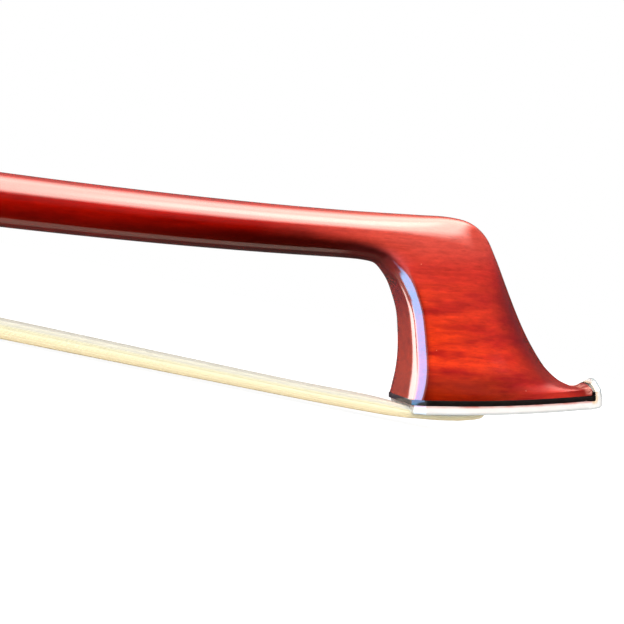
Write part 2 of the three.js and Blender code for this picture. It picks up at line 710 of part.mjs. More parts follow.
// Knots lie across the deep end of each mortise, against the wall that the hair comes down
const HEAD_KNOT_RISE = HEAD_MORTISE_DEPTH - RUNNING_GAP - KNOT_DIAMETER / 2;
const FROG_KNOT_DEPTH = CHANNEL_FLOOR - FROG_MORTISE_DEPTH + RUNNING_GAP + KNOT_DIAMETER / 2;

function makeHeadKnot() {
  const x = HEAD_MORTISE_FRONT - RUNNING_GAP - KNOT_DIAMETER / 2;
  const knot = rodAcross(KNOT_DIAMETER, -KNOT_LENGTH / 2, KNOT_LENGTH / 2).translate(x, 0, HEAD_KNOT_RISE);
  return piece("head_hair_knot", knot, MATERIALS.thread);
}

function makeFrogKnot() {
  const f = FROG_MORTISE_REAR + RUNNING_GAP + KNOT_DIAMETER / 2;
  const knot = rodAcross(KNOT_DIAMETER, -KNOT_LENGTH / 2, KNOT_LENGTH / 2).translate(f, 0, -FROG_KNOT_DEPTH);
  return piece("frog_hair_knot", knot, MATERIALS.thread);
}

// The hair runs from the head's knot round its plug, under the plate, free to the ferrule, over the slide's
// backing and round the frog's plug. Each row is its inner edge, toward the stick, its outer edge, its width.
function hairRows() {
  return [...hairAtHead(), ...hairFree(), ...hairAtFrog()];
}

function hairAtHead() {
  const at = (x, z) => placed(headFrame, x, z);
  const front = HEAD_MORTISE_FRONT - RUNNING_GAP;
  const back = front - HAIR_THICK_FOLD;
  const knot = HEAD_KNOT_RISE - KNOT_DIAMETER / 2 - RUNNING_GAP;
  const under = -RUNNING_GAP;
  const fold = HAIR_THICK_FOLD;
  const [first, second, third] = BEND_SHARES.map((share) => share * fold);
  return [
    [at(back, knot), at(front, knot), HAIR_WIDTH_HEAD],
    [at(back, 0), at(front, 0), HAIR_WIDTH_HEAD],
    [at(back - RUNNING_GAP, under), at(front - first, under - second), HAIR_WIDTH_HEAD],
    [at(back - fold, under), at(back - third, under - fold), HAIR_WIDTH_HEAD],
    [at(back * HAIR_PINCH_SHARE, under), at(back * HAIR_PINCH_SHARE, under - fold), HAIR_WIDTH_HEAD],
    [at(0, under), at(0, under - HAIR_THICK_EDGE), HAIR_WIDTH_HEAD],
  ];
}

function hairFree() {
  const plate = placed(headFrame, 0, 0);
  const at = (x, z) => new THREE.Vector2(x, z);
  const loose = plate.x - HAIR_LOOSENING;
  const level = plate.x - HAIR_LIFT_RUN;
  const belly = plate.x - HAIR_BELLY_RUN;
  return [
    [at(loose, HAIR_LOOSE_LIFT + HAIR_THICK_FREE), at(loose, HAIR_LOOSE_LIFT), HAIR_WIDTH_FREE_HEAD],
    [at(level, HAIR_THICK_FREE), at(level, 0), HAIR_WIDTH_FREE_HEAD],
    [at(belly, HAIR_THICK_BELLY), at(belly, 0), HAIR_WIDTH_FREE_HEAD],
  ];
}

function hairAtFrog() {
  const at = (f, depth) => placed(handleFrame, FROG_SETBACK + f, -depth);
  const fold = HAIR_THICK_FOLD;
  const floor = FERRULE_BASE - FERRULE_WALL - GLUE_GAP;
  const over = floor - HAIR_THICK_FERRULE;
  const ramp = FERRULE_FROM_HEEL + RUNNING_GAP + fold;
  const spread = ramp + 2 * HAIR_THICK_FERRULE;
  const lower = FROG_DEPTH - SLIDE_PEARL - SLIDE_BACKING - RUNNING_GAP;
  const upper = lower - fold;
  const rear = FROG_MORTISE_REAR + RUNNING_GAP;
  const inside = rear + fold;
  const knot = FROG_KNOT_DEPTH + KNOT_DIAMETER / 2 + RUNNING_GAP;
  const [first, second, third] = BEND_SHARES.map((share) => share * fold);
  return [
    [at(FROG_LENGTH, over), at(FROG_LENGTH, floor), HAIR_WIDTH_FROG],
    [at(spread, over), at(spread, floor), HAIR_WIDTH_FROG],
    [at(ramp, upper), at(ramp, lower), HAIR_WIDTH_HEAD],
    [at(inside + fold, upper), at(inside + second, lower), HAIR_WIDTH_HEAD],
    [at(inside, upper - RUNNING_GAP), at(rear + first, lower - third), HAIR_WIDTH_HEAD],
    [at(inside, upper - fold), at(rear, upper), HAIR_WIDTH_HEAD],
    [at(inside, knot), at(rear, knot), HAIR_WIDTH_HEAD],
  ];
}

function ribbonRing([inner, outer, width]) {
  const corner = inner.distanceTo(outer) * RIBBON_CORNER_SHARE;
  const across = outer.clone().sub(inner);
  const at = (share, reach) => {
    const point = inner.clone().addScaledVector(across, share);
    return new THREE.Vector3(point.x, reach, point.y);
  };
  const full = width / 2;
  const flat = full - corner;
  const low = RIBBON_CORNER_SHARE;
  const high = 1 - RIBBON_CORNER_SHARE;
  return [
    at(0, -flat), at(0, flat), at(low, full), at(high, full),
    at(1, flat), at(1, -flat), at(high, -full), at(low, -full),
  ];
}

function makeHair() {
  return piece("hair_ribbon", loft(hairRows().map(ribbonRing)), MATERIALS.hair);
}

// Frog. Its sides are drawn in between the stick and the slide
function frogHalf(depth) {
  if (depth < FROG_WAIST_DEPTH) {
    const up = (FROG_WAIST_DEPTH - depth) / (FROG_WAIST_DEPTH - FROG_TOP_DEPTH);
    return FROG_HALF_WAIST + (FROG_HALF_TOP - FROG_HALF_WAIST) * up ** 2;
  }
  const down = (depth - FROG_WAIST_DEPTH) / (FROG_DEPTH - FROG_WAIST_DEPTH);
  return FROG_HALF_WAIST + (FROG_HALF_BOTTOM - FROG_HALF_WAIST) * down ** 2;
}

function frogSection(start, end) {
  const half = [];
  for (let i = 0; i <= SIDE_STEPS; i += 1) {
    const depth = lerp(FROG_TOP_DEPTH, FROG_DEPTH, i / SIDE_STEPS);
    half.push([frogHalf(depth), -depth]);
  }
  return prismAlong([...half, ...half.slice().reverse().map(([v, w]) => [-v, w])], start, end);
}

// The ferrule's outline in heights over its flat: flat, rounded corner, upright side and arch
function ferruleOutline(inset) {
  const reach = FERRULE_WIDTH / 2 - inset;
  const corner = FERRULE_CORNER - inset;
  const half = [];
  for (let i = 0; i <= ARC_STEPS; i += 1) {
    const angle = (Math.PI / 2) * (i / ARC_STEPS);
    half.push([reach - corner + corner * Math.sin(angle), inset + corner - corner * Math.cos(angle)]);
  }
  for (let i = 0; i < 2 * ARC_STEPS; i += 1) {
    const angle = (Math.PI / 4) * (i / ARC_STEPS);
    const rise = FERRULE_HEIGHT - FERRULE_SIDE - inset;
    half.push([reach * Math.cos(angle), FERRULE_SIDE + rise * Math.sin(angle)]);
  }
  const outline = [...half, [0, FERRULE_HEIGHT - inset], ...half.slice().reverse().map(([v, h]) => [-v, h])];
  return outline.map(([v, h]) => [v, h - FERRULE_BASE]);
}

function ferruleTopDepth(v) {
  const share = Math.min(1, Math.abs(v) / (FERRULE_WIDTH / 2));
  return FERRULE_BASE - FERRULE_SIDE - (FERRULE_HEIGHT - FERRULE_SIDE) * Math.sqrt(1 - share ** 2);
}

// The thumb's cove runs from the tip under the stick to the ferrule's arch, so its foot falls to the sides
function coveCutter() {
  const tipDepth = CHANNEL_FLATS / 2 + NOSE_THICKNESS;
  const front = FROG_LENGTH + OVERRUN;
  const rings = [];
  for (let i = 0; i <= COVE_STATIONS; i += 1) {
    const angle = Math.PI * (i / COVE_STATIONS - 1 / 2);
    const v = (FERRULE_WIDTH / 2) * Math.sin(angle);
    const foot = -ferruleTopDepth(v);
    const start = new THREE.Vector2(NOSE_REACH - NOSE_ROUND, -tipDepth);
    const end = new THREE.Vector2(FERRULE_FROM_HEEL, foot);
    const curve = new THREE.CubicBezierCurve(
      start,
      new THREE.Vector2(start.x - COVE_NOSE_REACH, start.y - COVE_NOSE_DROP),
      new THREE.Vector2(end.x - COVE_FERRULE_REACH, end.y + COVE_FERRULE_RISE),
      end,
    );
    const outline = [
      new THREE.Vector2(front, -tipDepth + NOSE_ROUND),
      new THREE.Vector2(NOSE_REACH, -tipDepth + NOSE_ROUND),
      ...curve.getPoints(COVE_STEPS),
      new THREE.Vector2(front, foot),
    ];
    rings.push(outline.map((p) => new THREE.Vector3(p.x, v, p.y)));
  }
  return loft(rings);
}

function makeFrogBody() {
  let body = toSolid(frogSection(0, NOSE_REACH));
  for (const cutter of frogCutters()) body = body.subtract(toSolid(cutter));
  return piece("frog_body", body.add(frogTongue()), MATERIALS.ebony);
}

function frogTongue() {
  const outline = ferruleOutline(FERRULE_WALL + GLUE_GAP);
  const rear = FERRULE_FROM_HEEL - RUNNING_GAP;
  const tongue = toSolid(prismAlong(outline, rear, FROG_LENGTH - WEDGE_SETBACK));
  const below = box(0, FROG_LENGTH, FERRULE_WIDTH, -FERRULE_BASE, -CHANNEL_FLOOR);
  return tongue.subtract(toSolid(below));
}

function frogCutters() {
  const base = -FROG_DEPTH - OVERRUN;
  const side = FERRULE_WIDTH;
  const plate = HEEL_PLATE_THICKNESS + GLUE_GAP;
  const root = FROG_DEPTH - SLIDE_PEARL - SLIDE_BACKING - GLUE_GAP;
  const mortiseTop = FROG_MORTISE_DEPTH - CHANNEL_FLOOR;
  const shank = EYELET_SHANK_DIAMETER + 2 * GLUE_GAP;
  return [
    prismAlong(octagonOutline(CHANNEL_FLATS), -OVERRUN, NOSE_REACH + OVERRUN),
    coveCutter(),
    box(FERRULE_FROM_HEEL, FROG_LENGTH, side, base, -ferruleTopDepth(0) + GLUE_GAP),
    box(-OVERRUN, plate, side, base, -HEEL_PLATE_TOP_DEPTH + GLUE_GAP),
    box(-OVERRUN, HEEL_PLATE_REACH + GLUE_GAP, side, base, -FROG_DEPTH + plate),
    prismAlong(dovetail(root, FROG_DEPTH + OVERRUN, GLUE_GAP), HEEL_PLATE_REACH, FROG_LENGTH),
    box(FROG_MORTISE_REAR, FROG_LENGTH, HAIR_CHANNEL_WIDTH / 2, base, -CHANNEL_FLOOR),
    box(FROG_MORTISE_REAR, FROG_MORTISE_FRONT, FROG_MORTISE_WIDTH / 2, base, mortiseTop),
    rodUp(shank, -eyeletFoot() - GLUE_GAP, 0).translate(EYELET_FROM_HEEL, 0, 0),
    ...[1, -1].map((sign) => eyeRod(sign, EYE_RING_DIAMETER + 2 * GLUE_GAP, -GLUE_GAP, OVERRUN)),
    ...heelPinPlaces().map((place) => place(HEEL_PIN_DIAMETER + 2 * GLUE_GAP, GLUE_GAP)),
    ...liningScrewPlaces().map((f) => liningScrew(f, LINING_SCREW_DIAMETER + 2 * GLUE_GAP, GLUE_GAP)),
  ];
}

function octagonOutline(flats) {
  const corner = flats / 2 / Math.cos(Math.PI / 8);
  return Array.from({ length: 8 }, (_, i) => {
    const angle = (Math.PI / 4) * (i + 1 / 2);
    return [corner * Math.cos(angle), corner * Math.sin(angle)];
  });
}

// The slide's dovetail, between two depths, as its outline across the frog
function dovetail(top, bottom, gap) {
  const height = SLIDE_PEARL + SLIDE_BACKING;
  const half = (depth) => SLIDE_WIDTH / 2 + gap + (SLIDE_FLARE * (FROG_DEPTH - depth)) / height;
  return [[-half(bottom), -bottom], [half(bottom), -bottom], [half(top), -top], [-half(top), -top]];
}

function eyeletFoot() {
  return UNDERSLIDE_FLATS / 2 + EYELET_SHANK_LENGTH;
}

function eyeRod(sign, diameter, inset, proud) {
  const face = frogHalf(EYE_DEPTH);
  const rod = rodAcross(diameter, face - EYE_THICKNESS + inset, face + proud);
  if (sign < 0) rod.rotateZ(Math.PI);
  return rod.translate(EYE_FROM_HEEL, 0, -EYE_DEPTH);
}

function makeEye(side, sign) {
  const ring = toSolid(eyeRod(sign, EYE_RING_DIAMETER, 0, 0))
    .subtract(toSolid(eyeRod(sign, EYE_DIAMETER + 2 * GLUE_GAP, -OVERRUN, OVERRUN)));
  return [
    piece(`eye_pearl_${side}`, eyeRod(sign, EYE_DIAMETER, 0, 0), MATERIALS.pearl),
    piece(`eye_ring_${side}`, ring, MATERIALS.nickel),
  ];
}

// Pins that hold the heel plate: two in the back and one in the bottom
function heelPinPlaces() {
  const back = HEEL_PIN_BACK_DEPTHS.map((depth) => (diameter, gap) =>
    rodAlong(diameter, -gap, HEEL_PIN_LENGTH + gap).translate(0, 0, -depth));
  const bottom = (diameter, gap) =>
    rodUp(diameter, -FROG_DEPTH - gap, -FROG_DEPTH + HEEL_PIN_LENGTH + gap)
      .translate(HEEL_PIN_BOTTOM_REACH, 0, 0);
  return [...back, bottom];
}

function makeHeelPlate() {
  const inner = FROG_DEPTH - HEEL_PLATE_THICKNESS;
  const angle = prismAcross([
    [0, -FROG_DEPTH], [HEEL_PLATE_REACH, -FROG_DEPTH], [HEEL_PLATE_REACH, -inner],
    [HEEL_PLATE_THICKNESS, -inner], [HEEL_PLATE_THICKNESS, -HEEL_PLATE_TOP_DEPTH], [0, -HEEL_PLATE_TOP_DEPTH],
  ], FERRULE_WIDTH);
  let plate = toSolid(angle).intersect(toSolid(frogSection(-OVERRUN, FROG_LENGTH)));
  for (const place of heelPinPlaces()) {
    plate = plate.subtract(toSolid(place(HEEL_PIN_DIAMETER + 2 * GLUE_GAP, OVERRUN)));
  }
  return piece("heel_plate", plate, MATERIALS.nickel);
}

function liningScrewPlaces() {
  const rear = UNDERSLIDE_SETBACK + LINING_SCREW_SETBACK;
  return [rear, NOSE_REACH - rear];
}

function liningScrew(f, diameter, gap) {
  const head = -UNDERSLIDE_FLATS / 2;
  return rodUp(diameter, head - LINING_SCREW_LENGTH - gap, head + gap).translate(f, 0, 0);
}

// A thin metal trough that runs against the three lower faces of the stick
function makeUnderslide() {
  const trough = (flats, sign) => {
    const apothem = flats / 2;
    const low = apothem * Math.tan(Math.PI / 8);
    const high = apothem * Math.SQRT2 - FROG_TOP_DEPTH;
    const edge = [[high, -FROG_TOP_DEPTH], [low, -apothem], [-low, -apothem], [-high, -FROG_TOP_DEPTH]];
    return sign > 0 ? edge : edge.reverse();
  };
  const outline = [
    ...trough(UNDERSLIDE_FLATS, 1),
    ...trough(UNDERSLIDE_FLATS + 2 * UNDERSLIDE_THICKNESS, -1),
  ];
  let sheet = toSolid(prismAlong(outline, UNDERSLIDE_SETBACK, NOSE_REACH - UNDERSLIDE_SETBACK));
  const shank = rodUp(EYELET_SHANK_DIAMETER + 2 * GLUE_GAP, -HANDLE_FLATS, 0)
    .translate(EYELET_FROM_HEEL, 0, 0);
  const hole = LINING_SCREW_DIAMETER + 2 * GLUE_GAP;
  const screws = liningScrewPlaces().map((f) => liningScrew(f, hole, OVERRUN));
  for (const cutter of [shank, ...screws]) sheet = sheet.subtract(toSolid(cutter));
  return piece("underslide", sheet, MATERIALS.nickel);
}

function makeSlide() {
  const start = HEEL_PLATE_REACH + GLUE_GAP;
  const end = FERRULE_FROM_HEEL - GLUE_GAP;
  const seam = FROG_DEPTH - SLIDE_PEARL;
  const root = seam - SLIDE_BACKING;
  return [
    piece("slide_pearl", prismAlong(dovetail(seam, FROG_DEPTH, 0), start, end), MATERIALS.pearl),
    piece("slide_backing", prismAlong(dovetail(root, seam - GLUE_GAP, 0), start, end), MATERIALS.ebony),
  ];
}

function makeFrogPlug() {
  const rear = FROG_MORTISE_REAR + 2 * RUNNING_GAP + HAIR_THICK_FOLD;
  const half = FROG_MORTISE_WIDTH / 2 - GLUE_GAP;
  const front = FROG_MORTISE_FRONT - GLUE_GAP;
  const plug = box(rear, front, half, -CHANNEL_FLOOR, FROG_PLUG_DEPTH - CHANNEL_FLOOR);
  return piece("frog_plug", plug, MATERIALS.softwood);
}

function makeFerrule() {
  const outer = toSolid(prismAlong(ferruleOutline(0), FERRULE_FROM_HEEL + GLUE_GAP, FROG_LENGTH));
  const inner = toSolid(prismAlong(ferruleOutline(FERRULE_WALL), 0, FROG_LENGTH + OVERRUN));
  return piece("ferrule", outer.subtract(inner), MATERIALS.nickel);
}

// The wedge spreads the hair over the ferrule's flat; its thin end goes in first
function makeFerruleWedge() {
  const front = FROG_LENGTH - WEDGE_SETBACK;
  const top = CHANNEL_FLOOR + GLUE_GAP;
  const bottom = FERRULE_BASE - FERRULE_WALL - 2 * GLUE_GAP - HAIR_THICK_FERRULE;
  const outline = [
    [front - WEDGE_LENGTH, -top], [front - WEDGE_LENGTH, -top - WEDGE_TIP_THICKNESS],
    [front, -bottom], [front, -top],
  ];
  return piece("ferrule_wedge", prismAcross(outline, WEDGE_WIDTH / 2), MATERIALS.softwood);
}

function makeEyelet() {
  const trough = UNDERSLIDE_FLATS / 2;
  const foot = -Math.min(trough, trough * Math.SQRT2 - EYELET_WIDTH / 2) + RUNNING_GAP;
  const block = box(-EYELET_LENGTH / 2, EYELET_LENGTH / 2, EYELET_WIDTH / 2, foot, EYELET_TOP);
  const shank = rodUp(EYELET_SHANK_DIAMETER, -eyeletFoot(), 0);
  const bore = rodAlong(SCREW_DIAMETER + 2 * RUNNING_GAP, -EYELET_LENGTH, EYELET_LENGTH);
  const eyelet = toSolid(block).add(toSolid(shank)).subtract(toSolid(bore));
  const mesh = piece("eyelet", eyelet, MATERIALS.brass);
  mesh.position.x = EYELET_FROM_HEEL;
  return mesh;
}

function makeFrog() {
  const frog = new THREE.Group();
  frog.position.x = FROG_SETBACK;
  frog.add(
    makeFrogBody(), makeUnderslide(), makeHeelPlate(), ...makeSlide(), makeFrogPlug(), makeFrogKnot(),
    makeFerrule(), makeFerruleWedge(), makeEyelet(), ...makeEye("left", 1), ...makeEye("right", -1),
    ...heelPinPlaces().map((place, i) =>
      piece(`heel_pin_${i + 1}`, place(HEEL_PIN_DIAMETER, 0), MATERIALS.nickel)),
    ...liningScrewPlaces().map((f, i) =>
      piece(`underslide_screw_${i + 1}`, liningScrew(f, LINING_SCREW_DIAMETER, 0), MATERIALS.brass)),
  );
  return frog;
}

// Screw and button turn together on the handle's axis
function makeScrew() {
  const radius = SCREW_DIAMETER / 2;
  const nose = SCREW_NOSE_DIAMETER / 2;
  const noseStart = SCREW_LENGTH - SCREW_NOSE_LENGTH;
  const profile = [
    [0, -SCREW_TANG], [radius, -SCREW_TANG], [radius, noseStart], [nose, noseStart],
    [nose, SCREW_LENGTH - nose], [0, SCREW_LENGTH],
  ].map(([r, u]) => new THREE.Vector2(r, u));
  const screw = new THREE.LatheGeometry(profile, ROUND_STEPS).rotateZ(-Math.PI / 2);
  return piece("adjusting_screw", toSolid(screw), MATERIALS.steel);
}

function octagonRing(flats, u) {
  return octagonOutline(flats).map(([v, w]) => new THREE.Vector3(u, v, w));
}

function makeButton() {
  const bore = BUTTON_FLATS - 2 * RING_WALL;
  const spigot = bore - 2 * GLUE_GAP;
  const face = -RUNNING_GAP;
  const capStart = CAP_LENGTH - BUTTON_LENGTH;
  const floor = CAP_FLOOR - BUTTON_LENGTH;
  const end = -BUTTON_LENGTH;
  const ring = toSolid(prismAlong(octagonOutline(BUTTON_FLATS), -RING_LENGTH, face))
    .subtract(toSolid(rodAlong(bore, -RING_LENGTH - OVERRUN, OVERRUN)));
  const waist = prismAlong(octagonOutline(BUTTON_WAIST_FLATS), capStart + GLUE_GAP, -RING_LENGTH - GLUE_GAP);
  const core = toSolid(waist)
    .add(toSolid(rodAlong(spigot, floor + GLUE_GAP, face)))
    .subtract(toSolid(rodAlong(NIPPLE_DIAMETER + 2 * RUNNING_GAP, -NIPPLE_LENGTH - RUNNING_GAP, OVERRUN)))
    .subtract(toSolid(rodAlong(SCREW_DIAMETER + 2 * GLUE_GAP, -SCREW_TANG - GLUE_GAP, OVERRUN)));
  const shell = loft([
    octagonRing(BUTTON_FLATS, capStart),
    octagonRing(BUTTON_FLATS, end + CAP_BEVEL),
    octagonRing(BUTTON_FLATS - 2 * CAP_BEVEL, end),
  ]);
  const pearlFront = end + BUTTON_PEARL_THICKNESS;
  const cap = toSolid(shell)
    .subtract(toSolid(rodAlong(bore, floor, OVERRUN)))
    .subtract(toSolid(rodAlong(BUTTON_PEARL_DIAMETER + 2 * GLUE_GAP, end - OVERRUN, pearlFront + GLUE_GAP)));
  return [
    piece("button_front_ring", ring, MATERIALS.nickel),
    piece("button_core", core, MATERIALS.ebony),
    piece("button_rear_cap", cap, MATERIALS.nickel),
    piece("button_pearl", rodAlong(BUTTON_PEARL_DIAMETER, end, pearlFront), MATERIALS.pearl),
  ];
}

// Leather where the thumb lies, and the wound lapping ahead of it
function sleeve(stations) {
  const outer = stations.map(([distance, thickness]) => stickRing(distance, GLUE_GAP + thickness));
  const inner = stations.map(([distance]) => stickRing(distance, GLUE_GAP)).reverse();
  return loft([...outer, ...inner], true);
}

function makeGrip() {
  const start = FROG_SETBACK + NOSE_REACH + LEATHER_SETBACK;
  const end = start + LEATHER_LENGTH;
  const lappingStart = end + GLUE_GAP;
  const leather = [
    [start, LEATHER_THICKNESS / 3], [start + LEATHER_SKIVE, LEATHER_THICKNESS],
    [end - LEATHER_SKIVE, LEATHER_THICKNESS], [end, LEATHER_THICKNESS / 3],
  ];
  const lapping = stickStations(lappingStart, lappingStart + LAPPING_LENGTH)
    .map((distance) => [distance, LAPPING_THICKNESS]);
  return [
    piece("thumb_leather", sleeve(leather), MATERIALS.leather),
    piece("lapping", sleeve(lapping), MATERIALS.nickel),
  ];
}

const bow = new THREE.Group();
const head = new THREE.Group();
const handle = new THREE.Group();
head.applyMatrix4(headFrame);
handle.applyMatrix4(handleFrame);
head.add(makeHeadLiner(), makeTipPlate(), makeHeadPlug(), makeHeadKnot());
handle.add(makeFrog(), makeScrew(), ...makeButton());
bow.add(makeStick(), ...makeGrip(), makeHair(), head, handle);

export default bow;
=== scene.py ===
"""Cello bow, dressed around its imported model: varnished stick and head, hair, frog and fittings.

Shapes are worked out in millimetres and become metres when they are made into meshes. Two drawing planes are
used beside the bow's own: the head's, from the rear lower edge of the tip plate, and the handle's, from the
butt of the stick along its axis. A section of the head is drawn at each of its pairs, which join a place on the
throat with one on the front; pair 0 is the neck.
"""

import math
import random
from contextlib import contextmanager

import bpy
import numpy as np
from mathutils import Matrix, Vector
from mathutils.kdtree import KDTree


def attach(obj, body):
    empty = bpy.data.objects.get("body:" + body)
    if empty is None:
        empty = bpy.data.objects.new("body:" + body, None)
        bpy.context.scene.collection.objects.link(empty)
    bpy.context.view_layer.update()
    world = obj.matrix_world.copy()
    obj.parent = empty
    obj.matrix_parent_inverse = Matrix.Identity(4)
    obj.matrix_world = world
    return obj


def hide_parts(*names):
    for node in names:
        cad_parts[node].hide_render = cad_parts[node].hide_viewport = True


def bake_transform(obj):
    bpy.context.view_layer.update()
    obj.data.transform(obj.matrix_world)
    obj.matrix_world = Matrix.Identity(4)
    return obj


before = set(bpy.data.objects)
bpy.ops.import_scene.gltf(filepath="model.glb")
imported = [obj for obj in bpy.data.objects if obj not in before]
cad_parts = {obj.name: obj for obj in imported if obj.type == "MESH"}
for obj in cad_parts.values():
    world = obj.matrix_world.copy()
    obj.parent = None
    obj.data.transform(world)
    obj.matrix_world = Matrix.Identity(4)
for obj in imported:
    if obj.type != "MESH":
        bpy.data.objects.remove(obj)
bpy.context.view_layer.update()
bpy.ops.object.select_all(action="DESELECT")

MM = 0.001

# Sizes in millimetres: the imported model's, apart from small fits to the photograph
HEAD_PITCH = math.radians(11.9)
HANDLE_PITCH = math.radians(4.5)
HEAD_ORIGIN = (329.016, 1.56)
HANDLE_ORIGIN = (-342.717, 29.912)

HANDLE_FLATS = 10.4
HANDLE_LENGTH = 150
OCTAGON_LENGTH = 108
OCTAGON_FADE = 30
NECK_DIAMETER = 6.45
NECK_SETBACK = 11.26
NECK_RISE = 24.2
NECK_DROOP = math.radians(2.9)
STICK_TAPER_POWER = 1.5
CAMBER_HANDLE_REACH = 130
CAMBER_NECK_REACH = 140
NIPPLE_DIAMETER = 6.2
NIPPLE_LENGTH = 4
SCREW_HOLE = (1.7, -NIPPLE_LENGTH - 1, 45)  # radius, start and end along the handle
SCREW_BEARING = (1.4, 44, 55.6)
EYELET_SLOT = (17.6, 31.8, 2.7, -10.4, 2.9)  # start, end, half width, bottom and top

HEAD_LENGTH = 29.8
HEAD_HEIGHT = 26.9
PLATE_THICKNESS = 1.17
WOOD_SEAT = 1.95
CHEEK_HALF_MAX = 5.7
CHEEK_HALF_REAR = 5.58
BEAK_HALF = 2
BEAK_ROUNDING = 1.9
THROAT_HALF_PLATE = 4.75
THROAT_HALF_NECK = 3.05
THROAT_BEVEL_RUN = 1.45
THROAT_BEVEL_INSET = 0.87
RIDGE_DEPTH = 1.75
RIDGE_HALF = 3
NOSE_DEPTH = 0.3
CHEEK_WIDEST_SHARE = 0.22
CHEEK_NARROWING_POWER = 1.55
CHEEK_BULGE_POWER = 1.6
THROAT_WIDENING_POWER = 2.5
THROAT_SETBACK = 0.2
SHOULDER_ROUNDING = 130  # passes that ease the corner between cheek and front facet
ARRIS_ROUNDING = 7  # passes that ease the corner between throat and bevel
HEAD_MORTISE = (3, 11, 3.8, 6.6)  # start, end, half width and depth
LINER_REAR = -0.35
SEAM_GAP = 0.02
TONGUE_START = 25.9  # from here on the plate narrows into the curl's tongue
PLATE_TURN = 26.8  # where the plate's inside begins to turn up
CURL_START = 27  # from here on the plate's mesh is finer
PLATE_SAG = 0.27  # the plate's face is a shallow arc along its length

# Throat and front of the head in pairs, as shares of its length and of its height over the seat
HEAD_PAIR_SHARES = [
    (-0.289, 0.757, -0.232, 1.012),
    (-0.208, 0.7487, -0.087, 1.0052),
    (-0.141, 0.7302, 0.06, 0.9988),
    (-0.0923, 0.6818, 0.201, 0.9911),
    (-0.052, 0.6214, 0.309, 0.9609),
    (-0.0211, 0.5409, 0.393, 0.8832),
    (0, 0.4563, 0.4497, 0.7624),
    (0.0094, 0.3677, 0.5067, 0.6093),
    (0.0141, 0.2871, 0.5604, 0.4664),
    (0.0154, 0.2227, 0.6107, 0.3455),
    (0.0134, 0.1663, 0.6644, 0.2388),
    (0.0091, 0.118, 0.7181, 0.1522),
    (0.0034, 0.0777, 0.7819, 0.0878),
    (-0.0017, 0.0455, 0.8456, 0.0516),
    (-0.005, 0.0221, 0.8926, 0.0367),
    (-0.0074, 0.0093, 0.935, 0.033),
    (-0.0091, 0, 0.94, 0),
]

# Tip plate in the head's plane: outside of the curl, then its inside
CURL_OUTSIDE = [
    (27.4, -0.12), (28.4, -0.02), (29.2, 0.08), (29.74, 0.22), (30.0, 0.48), (30.06, 0.8), (29.86, 1.3),
    (29.6, 1.75), (29.38, 2.2), (29.18, 2.8), (29.09, 3.38), (29.0, 3.8), (28.9, 4.06), (28.72, 4.16),
    (28.5, 4.04), (28.2, 3.66), (27.92, 3.48),
]
CURL_INSIDE = [
    (27.99, 3.35), (28.09, 3.1), (28.14, 2.86), (28.17, 2.35), (28.25, 1.65), (28.28, 1.32), (28.2, 1.1),
    (28.0, 1.04),
]
LINER_OUTSIDE = [
    (28.0, 1.07), (28.17, 1.13), (28.24, 1.34), (28.21, 1.65), (28.13, 2.34), (28.1, 2.84), (28.05, 3.08),
    (27.95, 3.31), (27.84, 3.42),
]
LINER_INSIDE = [
    (27.52, 3.2), (27.6, 3.0), (27.72, 2.7), (27.8, 2.47), (27.92, 2.1), (27.84, 1.84), (27.4, 1.78),
]
# The curl narrows to a tongue: height and half width
CURL_HALF = [(2.4, 2.45), (2.79, 1.95), (3.1, 1.65), (3.38, 1.3), (3.7, 0.95), (3.95, 0.6), (4.1, 0.3), (4.18, 0.0)]
TOE_LIFT = 0.62  # the wood turns up towards the curl
TOE_START = 26.2
# What is cut off the toe to make room for the liner's upturned end
TOE_CUT = [
    (27.92, -1), (32, -1), (32, 6), (27.0, 6), (27.48, 3.22), (27.57, 2.98), (27.69, 2.68), (27.77, 2.45),
    (27.89, 2.08),
]

# Frog, hair and grip
FROG_SETBACK = 8.5
FROG_LENGTH = 50
GRIP_START = 52.8
LEATHER_LENGTH = 30
LEATHER_THICKNESS = 1.0
LAPPING_LENGTH = 64
WIRE_DIAMETER = 0.4
WIRE_PITCH = 0.412
GLUE_GAP = 0.05
STRAND_RADIUS = 0.115
STRAND_LAYERS = [(46, 15), (34, 8)]  # strands across the hank and through it, in its skin and under it

# Hair in the head's plane, from its knot: a place on its inside, one on its outside, and its width
HAIR_AT_HEAD = [
    (10.0, 4.8, 10.9, 4.8, 7.3), (10.0, 1.0, 10.9, 1.0, 7.3), (10.0, 0.0, 10.9, -0.1, 7.3),
    (9.95, -0.25, 10.82, -0.52, 7.3), (9.6, -0.34, 10.4, -0.9, 7.3), (9.0, -0.36, 9.4, -1.12, 7.3),
    (7.0, -0.37, 7.0, -1.24, 7.3), (4.2, -0.3, 4.2, -1.12, 7.3), (2.0, -0.17, 2.0, -0.92, 7.35),
    (0.6, -0.1, 0.6, -0.76, 7.4), (0.1, -0.02, 0.1, -0.74, 7.45),
]
# The same in the frog, down to its knot, along the handle and under the stick's axis
HAIR_IN_FROG = [
    (50, 23.55, 50, 24.75, 10.6), (46, 23.5, 46, 24.7, 10.5), (40.8, 23.4, 40.8, 24.6, 10.2),
    (38.4, 22.45, 38.4, 23.25, 7.6), (30, 22.4, 30, 23.2, 7.3), (14, 22.4, 12.9, 23.2, 7.3),
    (13.2, 22.2, 12.3, 22.8, 7.3), (13.0, 21.6, 12.1, 22.0, 7.3), (13.0, 17.2, 12.1, 17.2, 7.3),
]

# Fineness of the new meshes
HALF_STEPS = 64
CAMBER_RINGS = 120
HEAD_RINGS_PER_PAIR = 8

MERGE_DISTANCE = 0.002
FLAT_ENOUGH = math.radians(0.4)

# Places around half a section: 0 at the underside or in the middle of the throat
FLAT_EDGE, BEVEL_EDGE, CREST, TOP = 2, 4, 13, 16


def lerp(a, b, share):
    return a + (b - a) * share


